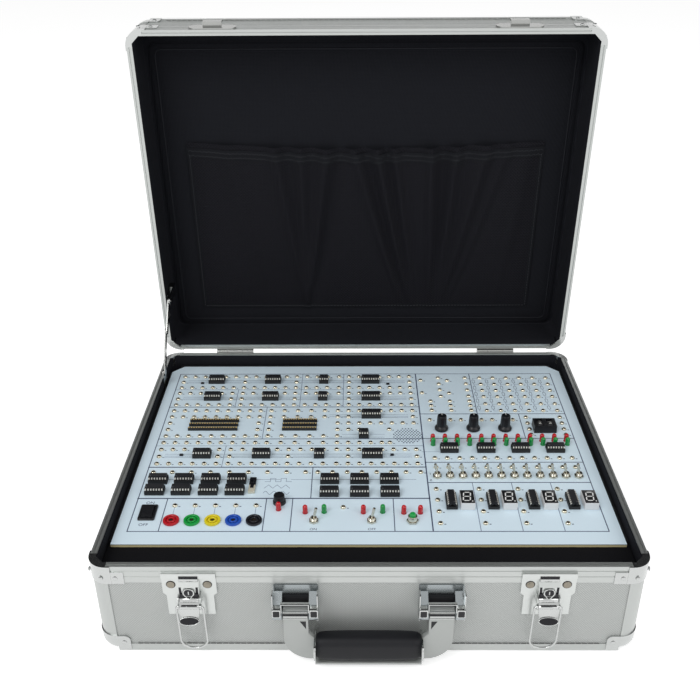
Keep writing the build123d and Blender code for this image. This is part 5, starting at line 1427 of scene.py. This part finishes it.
def button_and_slider(black):
    """The domed green button and the slide switch's ribbed knob."""
    green = finish("green_cap", (8, 160, 70), rough=0.3, tone=0.1, Coat_Weight=0.25)
    dome = [(3.0, 7.2), (2.85, 8.0), (2.4, 8.8), (1.6, 9.3), (0.8, 9.48), (0, 9.5)]
    cap = Shape().lathe([(0, 1.5), (3.0, 1.5)] + dome, on_board(*button_place), sides=28)
    cap.piece("pulse_button_cap", [green], "button", "green_plastic", replaces=("pulse_button",))
    slider = Shape().block(2.9, 5.4, 1.5, 5.0, on_board(slide_x, slide_y + 2.3), edge=0.35)
    for k in range(3):
        slider.block(2.9, 0.5, 4.95, 5.0, on_board(slide_x, slide_y + 1.0 + 1.3 * k))
    slider.piece("slide_switch_knob", [black], "slider", "black_plastic", replaces=("slide_knob",))


def frame_ring(shape, outer, inner, low, high, at, mark):
    """A flat frame with an opening, its upper edges eased."""
    rings = [
        level(outer, low),
        level(outer, high - 0.35),
        level(inset(outer, 0.35), high),
        level(inset(inner, -0.25), high),
        level(inner, high - 0.25),
        level(inner, low),
    ]
    shape.rings(rings, at, mark, closed=True)


def knobs(black):
    """Fluted knobs with a wide skirt and a white line."""
    white = finish("knob_line", (226, 226, 222), rough=0.5, tone=0.05)
    skirt = [(5.2, 0.5), (6.8, 0.5), (7.0, 0.8), (7.0, 2.2), (6.75, 2.7), (5.6, 4.4), (5.1, 5.0), (0, 5.0)]
    layers = ((5.15, 4.9), (5.0, 10.0), (4.75, 15.9), (4.4, 16.6), (3.7, 17.0))
    flutes, flute_depth, crown = 10, 0.32, 16.5
    for number, x in enumerate(knob_columns, 1):
        at = on_board(x, knob_row)
        shape = Shape().lathe(skirt, at, sides=36)
        rings = []
        for radius, z in layers:
            ring = []
            for k in range(60):
                a = tau * k / 60
                flute = flute_depth * (0.5 - 0.5 * cos(flutes * a)) if z < crown else 0.12
                ring.append(((radius - flute) * cos(a), (radius - flute) * sin(a), z))
            rings.append(ring)
        shape.rings(rings, at)
        shape.lathe([(0, 0.9), (1.5, 0.9), (1.5, 5.2), (0, 5.2)], at, sides=12)
        shape.block(0.6, 3.2, 16.9, 17.05, at @ moved(0, 1.9), 1)
        shape.block(0.6, 1.6, 4.4, 5.15, at @ moved(0, 5.2), 1)
        name, stands_for = f"knob_{number}_turned", (f"knob_{number}",)
        shape.piece(
            name, [black, white], f"knob_body_{number}", "black_plastic", hard=40, replaces=stands_for
        )


def fuse(black):
    """The fuse carrier with its flange, cap and slot."""
    at = on_board(*fuse_place)
    slot = finish("fuse_slot_shade", (12, 12, 14), rough=0.8)
    flange = [(0, 0), (5.9, 0), (5.9, 2.4), (5.5, 3.0), (5.0, 3.05)]
    shape = Shape().lathe(flange + [(5.0, 8.3), (4.6, 8.9), (4.0, 9.0), (0, 9.0)], at, sides=32)
    # painted shade: a darker strip for the cap's slot
    shape.block(8.0, 1.3, 8.95, 9.06, at, 1)
    shape.lathe([(0, -22), (4.1, -22), (4.1, 0.05), (0, 0.05)], at, sides=16)
    shape.piece("fuse_carrier", [black, slot], "base", "black_plastic", replaces=("fuse_holder",))


def thumbwheels():
    """The two notched wheels of the thumbwheel switch, with their digits."""
    dress("bcd_housing", dark_plastic())
    wheel = finish("thumbwheel", (34, 35, 38), rough=0.4, tone=0.15)
    pale = finish("thumbwheel_number", (228, 228, 222), rough=0.5, tone=0.05)
    wheel_radius, notch, steps = 6.08, 0.28, 40
    for side, offset in (("left", -thumbwheel_reach), ("right", thumbwheel_reach)):
        at = on_board(thumbwheel_x + offset, thumbwheel_y, 2.4) @ turned(90, "Y")
        rings = []
        for x, shrink in ((-2.8, 0.35), (-2.5, 0.0), (2.5, 0.0), (2.8, 0.35)):
            ring = []
            for k in range(steps):
                a = tau * k / steps
                r = wheel_radius - shrink - (0.0 if k % 4 else notch)
                ring.append((r * cos(a), r * sin(a), x))
            rings.append(ring)
        shape = Shape().rings(rings, at)
        numbers(shape, at, 1)
        name, stands_for = f"bcd_wheel_{side}_numbered", (f"bcd_wheel_{side}",)
        shape.piece(name, [wheel, pale], f"wheel_{side}", "black_plastic", hard=30, replaces=stands_for)


def numbers(shape, at, mark):
    """The ten digits round a wheel."""
    for digit in range(10):
        angle = tau * digit / 10 + pi + tau / 20
        upright = moved(6.11, 0) @ turned(90, "Y") @ turned(90, "Z")
        add_text(shape, str(digit), 3.4, at @ Matrix.Rotation(angle, 4, "Z") @ upright, mark)


# ------------------------------------------------------------------ linings
def tray_lining(name, tray, rim, body, replaces):
    """The cloth-covered lining: four walls and a floor with rounded corners."""
    thickness, top, floor = 0.6, rim - 10.85, 5.55
    outer = rounded(2 * (half_lining_x + thickness), 2 * (half_lining_y + thickness), 11.0, 6)
    inner = rounded(2 * half_lining_x, 2 * half_lining_y, 10.5, 6)
    rings = [
        level(outer, 5.0),
        level(outer, top),
        level(inner, top),
        level(inner, floor + 0.75),
        level(inset(inner, 0.8), floor),
    ]
    Shape().rings(rings, tray).piece(name, [lining_finish()], body, "lining", replaces=replaces)


def with_relief(outline, x, low, high, depth):
    """The outline with its left side set back by depth between low and high."""
    result = []
    for (x1, y1), (x2, y2) in zip(outline, outline[1:] + outline[:1]):
        result.append((x1, y1))
        if abs(x1 - x) < 0.01 and abs(x2 - x) < 0.01:
            ends = (low, high) if y2 > y1 else (high, low)
            result += [(x, ends[0]), (x - depth, ends[0]), (x - depth, ends[1]), (x, ends[1])]
    return result


def rim_binding(name, tray, rim, body, relief=None):
    """The cloth turned up over the inner side of the rim, thin where the stay's foot lies against it."""
    back_x, back_y = half_lining_x + 0.05, half_lining_y + 0.05
    face_x, face_y = half_lining_x - 0.5, half_lining_y - 0.5
    outer, inner = rounded(2 * back_x, 2 * back_y, 10.4, 6), rounded(2 * face_x, 2 * face_y, 9.9, 6)
    if relief:
        outer, inner = with_relief(outer, -back_x, *relief, 0.0), with_relief(inner, -face_x, *relief, 0.54)
    foot, top = rim - 11.6, rim - 0.5
    rings = [
        level(outer, foot),
        level(outer, top - 0.4),
        level(inset(outer, 0.3), top),
        level(inner, top - 0.4),
        level(inner, foot),
    ]
    Shape().rings(rings, tray, closed=True).piece(name, [lining_finish()], body, "lining")


def edge_distance(x, y, half_x, half_y, radius):
    """How far a point lies inside a rounded rectangle's edge."""
    dx, dy = abs(x) - (half_x - radius), abs(y) - (half_y - radius)
    if dx > 0 and dy > 0:
        return radius - hypot(dx, dy)
    return min(half_x - abs(x), half_y - abs(y))


def back_panel():
    """The padded panel behind the pocket, piped close to its edge."""
    half_x, half_y, radius, middle = 221.3, 164.8, 10, -7.0
    floor, fullness, piping_inset = 5.55, 2.45, 7.5
    columns, rows = 120, 90
    points = []
    for j in range(rows + 1):
        for i in range(columns + 1):
            x, y = half_x * (-1 + 2 * i / columns), half_y * (-1 + 2 * j / rows)
            over_x, over_y = max(0, abs(x) - (half_x - radius)), max(0, abs(y) - (half_y - radius))
            if over_x and over_y:
                pull = max(over_x, over_y) / max(hypot(over_x, over_y), 1e-6)
                x = (half_x - radius + over_x * pull) * (1 if x > 0 else -1)
                y = (half_y - radius + over_y * pull) * (1 if y > 0 else -1)
            d = edge_distance(x, y, half_x, half_y, radius)
            rise = fullness * (1 - (1 - min(1, max(0, d) / 5.0)) ** 2)
            groove = 1.1 * max(0, 1 - abs(d - piping_inset) / 2.4)
            soft = 0.25 * sin(x * 0.043) * sin(y * 0.037 + 1) if d > 14 else 0
            points.append((x, y + middle, floor + max(0.05, rise - groove + soft)))
    n = columns + 1
    edge = list(range(n)) + [(j + 1) * n - 1 for j in range(1, rows + 1)]
    edge += [rows * n + i for i in reversed(range(columns))] + [j * n for j in reversed(range(1, rows))]
    shape = Shape().add(points, grid_faces(columns, rows) + [edge[::-1]], lid_tray)
    panel = shape.piece("lid_padded_panel", [lining_finish()], "lid", "lining", hard=60)
    path = rounded(2 * (half_x - piping_inset), 2 * (half_y - piping_inset), 7, 6)
    outline = [(x, y + middle, 7.0) for x, y in path]
    cord = finish("piping_cord", (33, 34, 39), rough=0.6, tone=0.2, Specular_IOR_Level=0.15)
    piping = Shape().tube(outline, 0.8, lid_tray, sides=8, closed=True)
    piping.piece("lid_panel_piping", [cord], "lid", "lining", hard=60)


# Folds of the pocket: x at the hem, x at the foot, height of the ridge, its width
pocket_folds = (
    (-98, -66, 3.6, 9),
    (-41, -68, 4.4, 10),
    (-13, 46, 3.4, 8),
    (12, 54, 4.8, 8),
    (30, 60, 3.6, 7),
    (70, 76, 4.6, 9),
    (130, 84, 3.8, 11),
    (152, 92, 2.6, 8),
    (-150, -112, 1.8, 12),
    (178, 150, 1.4, 10),
    (-70, -67, 2.4, 8),
    (98, 80, 3.2, 8),
)
pocket_half, pocket_foot, pocket_top, pocket_sag = 191.5, -148.0, 54.0, 6.5
pocket_rise = 17.0  # the fullest fold, over the flat mesh
pocket_seam, foot_seam = 0.985, 0.012  # the bindings' middle lines, as parts of the width and height


def fold_shape(d):
    """A sharp ridge with a valley at its right."""
    return exp(-2.2 * d * d) - 0.62 * exp(-1.6 * (d - 1.35) ** 2)


def pocket_place(u, v):
    """A place on the pocket, u across from -1 to 1 and v up from 0 to 1, in the lid's tray."""
    x = pocket_half * u
    top = pocket_top - pocket_sag * (1 - u * u) ** 1.2
    y = pocket_foot + (top - pocket_foot) * v
    across = max(0.0, 1 - abs(u) ** 6)
    depth = 0.6 + 4.2 * sin(pi * min(1, v * 0.7)) * across
    for hem_x, foot_x, size, width in pocket_folds:
        centre = foot_x + (hem_x - foot_x) * v**0.9
        strength = 2.5 * size * v**0.6 * (1 - 0.45 * v) * across
        spread = width * (0.55 + 0.6 * v)
        depth += strength * fold_shape((x - centre) / spread)
    depth += 0.35 * sin(x * 0.11 + v * 4) * v * across
    return (x, y, 8.1 + min(pocket_rise, max(0.25, depth)))


def pocket():
    """The gathered mesh pocket with its hem, bindings and stitches."""
    # painted shade: the second colour darkens the mesh where its strands pass under each other
    face, painted_shade = (31, 31, 37), (7, 7, 9)
    more = {"rough": 0.7, "tone": 0.2, "Specular_IOR_Level": cloth_gloss}
    mesh_cloth = patterned("basket_mesh", face, painted_shade, basket, 0.0034, 0.8, **more)
    columns, rows = 190, 70
    across = [-1 + 2 * i / columns for i in range(columns + 1)]
    points = [pocket_place(u, j / rows) for j in range(rows + 1) for u in across]
    mesh = bpy.data.meshes.new("pocket_mesh")
    mesh.from_pydata([tuple((lid_tray @ Vector(p)) * MM) for p in points], [], grid_faces(columns, rows))
    mesh.materials.append(mesh_cloth)
    mesh.shade_smooth()
    piece = seat(linked("pocket_mesh", mesh), "lid", ("lid_pocket",))
    band = cloth("hem_binding", (25, 26, 30), rough=0.75, tone=0.25, grain=0.0008, depth=0.6)
    hem = strip([(-1 + 2 * k / 120, 0.945) for k in range(121)], 11.0, 0.7)
    hem_piece = hem.piece("pocket_hem", [band], "lid", "mesh_fabric", hard=60)
    left = [(-pocket_seam, 0.01 + 0.93 * k / 40) for k in range(41)]
    foot = [(-pocket_seam + 2 * pocket_seam * k / 90, foot_seam) for k in range(91)]
    edge = Shape()
    for path in (left, [(-u, v) for u, v in left], foot):
        strip(path, 4.4, 0.5, edge)
    edge_piece = edge.piece("pocket_bindings", [band], "lid", "mesh_fabric", hard=60)
    stitches = pocket_stitches()


def stitch_place(u, v, lift, turn=0):
    """Where a stitch lies on the pocket, over its cloth and turned by degrees."""
    x, y, z = pocket_place(u, v)
    return lid_tray @ moved(x, y, z + lift) @ turned(turn, "Z")


def pocket_stitches():
    """Crossed stitches along the hem, and straight ones along the sides and the foot."""
    thread = finish("stitch_thread", (46, 48, 54), rough=0.7, tone=0.1)
    stitch = Shape().tube([(-1.15, 0, 0), (-0.6, 0, 0.28), (0.6, 0, 0.28), (1.15, 0, 0)], 0.24, sides=5)
    places = []
    for k in range(150):
        u = -pocket_seam + 2 * pocket_seam * k / 149
        for v, lean in ((0.93, 38), (0.955, -38)):
            places.append(stitch_place(u, v, 0.95, lean if k % 2 else -lean))
    for k in range(52):
        for side in (-pocket_seam, pocket_seam):
            places.append(stitch_place(side, 0.02 + 0.9 * k / 51, 0.75, 90))
    for k in range(100):
        places.append(stitch_place(-0.97 + 1.94 * k / 99, foot_seam, 0.75))
    return repeated("pocket_stitches", stitch, places, thread, "lid", hard=60)


def strip(path, width, thickness, shape=None):
    """A flat tape that follows places on the pocket, lying just over it."""
    line = [Vector(pocket_place(u, v)) for u, v in path]
    rings = []
    for i, p in enumerate(line):
        along = (line[min(i + 1, len(line) - 1)] - line[max(i - 1, 0)]).normalized()
        side = Vector((0, 0, 1)).cross(along).normalized()
        up = along.cross(side).normalized()
        low, high = p + up * 0.15, p + up * (0.15 + thickness)
        half, half_above = side * width / 2, side * width / 2 * 0.96
        rings.append([low - half, low + half, high + half_above, high - half_above])
    return (shape or Shape()).rings(rings, lid_tray)


# ------------------------------------------------------------------ stage
camera_place = (-8.61, -724.09, 596.45)
camera_pitch, camera_yaw, camera_roll = 28.79, -0.56, 0.38  # down, to the right and clockwise
stage_middle = (0, 0, 0.1)


def camera_matrix():
    """The photograph's camera, fitted to the case's corners and the board."""
    pitch, yaw, roll = radians(camera_pitch), radians(camera_yaw), radians(camera_roll)
    look = Vector((sin(yaw) * cos(pitch), cos(yaw) * cos(pitch), -sin(pitch)))
    right = Vector((cos(yaw), -sin(yaw), 0))
    up = right.cross(look)
    across = right * cos(roll) - up * sin(roll)
    upward = right * sin(roll) + up * cos(roll)
    matrix = Matrix((across, upward, -look)).transposed().to_4x4()
    matrix.translation = Vector(camera_place) * MM
    return matrix


def area_lamp(name, place, size, power):
    """A square softbox that looks at the middle of the stage."""
    lamp = bpy.data.lights.new(name, "AREA")
    lamp.shape = "SQUARE"
    lamp.size = size
    lamp.energy = power
    holder = linked(name, lamp)
    holder.location = place
    holder.rotation_euler = (Vector(stage_middle) - Vector(place)).to_track_quat("-Z", "Y").to_euler()


def seen_directly(tree):
    """1 for what the camera, mirrors and glass see of the backdrop, and 0 for light."""
    path = tree.nodes.new("ShaderNodeLightPath")
    total = math_node(tree, "ADD", path.outputs["Is Camera Ray"], path.outputs["Is Glossy Ray"])
    return math_node(tree, "ADD", total, path.outputs["Is Transmission Ray"], clamp=True)


def stage_plane(name, points, material):
    """A plane for the stage with its material."""
    mesh = bpy.data.meshes.new(name)
    mesh.from_pydata(points, [], [(0, 1, 2, 3)])
    mesh.materials.append(material)
    return linked(name, mesh)


def dark_card():
    """A dark ceiling that only mirrors see, as a studio's unlit side; it takes no light from the scene."""
    material = bpy.data.materials.new("dark_card")
    material.use_nodes = True
    shader = material.node_tree.nodes["Principled BSDF"]
    shader.inputs["Base Color"].default_value = (0.02, 0.02, 0.022, 1)
    shader.inputs["Roughness"].default_value = 0.9
    corners = [(-3, -0.9, 2.1), (3, -0.9, 2.1), (3, 3.2, 1.7), (-3, 3.2, 1.7)]
    card = stage_plane("stage_card", corners, material)
    for ray in ("camera", "diffuse", "transmission", "volume_scatter", "shadow"):
        setattr(card, f"visible_{ray}", False)


def pale_floor(lift):
    """The floor: matt, and lifted towards white where it is seen."""
    material = bpy.data.materials.new("pale_floor")
    material.use_nodes = True
    tree = material.node_tree
    tree.nodes.clear()
    diffuse = tree.nodes.new("ShaderNodeBsdfDiffuse")
    glow = tree.nodes.new("ShaderNodeEmission")
    total = tree.nodes.new("ShaderNodeAddShader")
    out = tree.nodes.new("ShaderNodeOutputMaterial")
    diffuse.inputs["Color"].default_value = (0.86, 0.86, 0.86, 1)
    tree.links.new(math_node(tree, "MULTIPLY", seen_directly(tree), lift), glow.inputs["Strength"])
    tree.links.new(diffuse.outputs[0], total.inputs[0])
    tree.links.new(glow.outputs[0], total.inputs[1])
    tree.links.new(total.outputs[0], out.inputs["Surface"])
    floor = stage_plane("stage_floor", [(-4, -4, 0), (4, -4, 0), (4, 4, 0), (-4, 4, 0)], material)


def even_sky(scene, light):
    """A white backdrop that gives less light than it shows."""
    world = scene.world or bpy.data.worlds.new("studio")
    scene.world = world
    world.use_nodes = True
    tree = world.node_tree
    background = tree.nodes["Background"]
    background.inputs["Color"].default_value = (1, 1, 1, 1)
    seen = seen_directly(tree)
    strength = math_node(tree, "ADD", math_node(tree, "MULTIPLY", seen, 1 - light), light)
    tree.links.new(strength, background.inputs["Strength"])


def stage_setting():
    """Backdrop, floor, dark card, three softboxes and the camera."""
    scene = bpy.context.scene
    settings = scene.trainer_stage
    scene.view_settings.view_transform = "Standard"
    even_sky(scene, settings.sky_light)
    pale_floor(settings.floor_lift)
    dark_card()
    area_lamp("key_softbox", (-1.3, -1.5, 2.1), 1.2, settings.key_power)
    area_lamp("fill_softbox", (1.7, -1.2, 1.4), 1.6, settings.fill_power)
    area_lamp("top_softbox", (0.1, 0.5, 2.4), 1.4, settings.top_power)
    camera = bpy.data.cameras.new("camera")
    camera.lens = 45.68
    camera.sensor_width = 36
    camera.clip_start = 0.01
    holder = linked("camera", camera)
    holder.matrix_world = camera_matrix()
    scene.camera = holder


# ------------------------------------------------------------------ add-on
class TrainerSizes(bpy.types.PropertyGroup):
    """Sizes of the terminals and rivets, in millimetres."""

    eyelet_radius: FloatProperty(
        name="Eyelet Radius", description="Foot of a terminal's eyelet, in mm", default=2.6
    )
    eyelet_height: FloatProperty(
        name="Eyelet Height", description="Top of a terminal's eyelet, in mm", default=2.2
    )
    eyelet_hole: FloatProperty(
        name="Eyelet Hole", description="Radius of a terminal's hole, in mm", default=0.62
    )
    rivet_radius: FloatProperty(
        name="Rivet Radius", description="Radius of a corner rivet, in mm", default=1.9
    )
    rivet_rise: FloatProperty(name="Rivet Rise", description="Height of a corner rivet, in mm", default=0.9)


class TrainerColours(bpy.types.PropertyGroup):
    """Colours of the panels and lamps, as the screen shows them."""

    panel: FloatVectorProperty(
        name="Wall Panels",
        description="Screen colour of the embossed panels",
        subtype="COLOR",
        default=(0.775, 0.787, 0.78),
        min=0,
        max=1,
    )
    board: FloatVectorProperty(
        name="Board Face",
        description="Screen colour of the circuit board",
        subtype="COLOR",
        default=(0.85, 0.922, 0.966),
        min=0,
        max=1,
    )
    red: FloatVectorProperty(
        name="Red Lamps",
        description="Screen colour of the red lamps",
        subtype="COLOR",
        default=(0.76, 0.05, 0.10),
        min=0,
        max=1,
    )
    green: FloatVectorProperty(
        name="Green Lamps",
        description="Screen colour of the green lamps",
        subtype="COLOR",
        default=(0.03, 0.56, 0.25),
        min=0,
        max=1,
    )


class TrainerStage(bpy.types.PropertyGroup):
    """Strength of the lights."""

    sky_light: FloatProperty(
        name="Sky Light",
        description="Strength of the even light from all round",
        default=0.46,
        min=0,
        max=1,
    )
    floor_lift: FloatProperty(
        name="Floor Lift", description="What the floor adds where it is seen", default=0.55, min=0, max=1
    )
    key_power: FloatProperty(
        name="Key Lamp", description="Power of the front left softbox", subtype="POWER", default=24
    )
    fill_power: FloatProperty(
        name="Fill Lamp", description="Power of the right softbox", subtype="POWER", default=10
    )
    top_power: FloatProperty(
        name="Top Lamp", description="Power of the overhead softbox", subtype="POWER", default=10
    )


def lid_inside():
    """Everything soft in the lid."""
    back_panel()
    pocket()
    tray_lining("lid_cloth_lining", lid_tray, lid_rim, "lid", ("lid_lining",))
    rim_binding("lid_rim_cloth", lid_tray, lid_rim, "lid", relief=(-140, -112))


def base_inside():
    """Everything soft in the base."""
    tray_lining("base_cloth_lining", base_tray, base_rim, "base", ("base_lining",))
    rim_binding("base_rim_cloth", base_tray, base_rim, "base")


jobs = (
    ("case", "Case", "Dress the panels, extrusions, corners, rivets and mains inlet", dress_case),
    ("latches", "Latches", "Make the thumb levers, wire loops and lock details", latch_fittings),
    ("handle", "Handle", "Make the carrying handle's arms, collars and grip", handle_parts),
    ("board", "Board", "Dress the circuit board, its print, foam strip and battens", board_and_supports),
    ("eyelets", "Terminals", "Set an eyelet on every terminal", eyelets),
    ("chips", "Chips", "Make the chips, their sockets, pins and headers", chip_parts),
    ("lamps", "Lamps", "Make the red and green lamps", lamps),
    ("displays", "Displays", "Make the four digit displays", displays),
    ("jacks", "Banana Sockets", "Make the five coloured banana sockets", banana_parts),
    (
        "switches",
        "Switches",
        "Make the toggles, knobs, button, slide switch, fuse and thumbwheels",
        switch_parts,
    ),
    ("base_lining", "Base Lining", "Line the base", base_inside),
    ("lid_lining", "Lid Lining", "Line the lid and gather its mesh pocket", lid_inside),
    ("stage", "Stage", "Set the floor, lamps and camera", stage_setting),
)


def operator(key, label, text, job):
    """One operator for one group of pieces."""

    def execute(self, context):
        job()
        return {"FINISHED"}

    return type(
        f"TRAINER_OT_{key}",
        (bpy.types.Operator,),
        {"bl_idname": f"trainer.{key}", "bl_label": label, "__doc__": text, "execute": execute},
    )


operators = [operator(*job) for job in jobs]


class TRAINER_PT_parts(bpy.types.Panel):
    """Lists the trainer's pieces in the sidebar."""

    bl_label = "Logic Trainer"
    bl_space_type = "VIEW_3D"
    bl_region_type = "UI"
    bl_category = "Trainer"

    def draw(self, context):
        for cls in operators:
            self.layout.operator(cls.bl_idname)
        for group in ("trainer_sizes", "trainer_colours", "trainer_stage"):
            settings = getattr(context.scene, group)
            for name in settings.bl_rna.properties.keys():
                if name not in ("rna_type", "name"):
                    self.layout.prop(settings, name)


classes = (TrainerSizes, TrainerColours, TrainerStage, *operators, TRAINER_PT_parts)


def register():
    """Adds the panel, the operators and the settings."""
    for cls in classes:
        bpy.utils.register_class(cls)
    bpy.types.Scene.trainer_sizes = PointerProperty(type=TrainerSizes)
    bpy.types.Scene.trainer_colours = PointerProperty(type=TrainerColours)
    bpy.types.Scene.trainer_stage = PointerProperty(type=TrainerStage)


def unregister():
    """Takes them away again."""
    for name in ("trainer_stage", "trainer_colours", "trainer_sizes"):
        delattr(bpy.types.Scene, name)
    for cls in reversed(classes):
        bpy.utils.unregister_class(cls)


def main():
    """Runs every operator in order, and writes both sizes."""
    register()
    for cls in operators:
        family, name = cls.bl_idname.split(".")
        getattr(getattr(bpy.ops, family), name)()


if __name__ == "__main__":
    main()
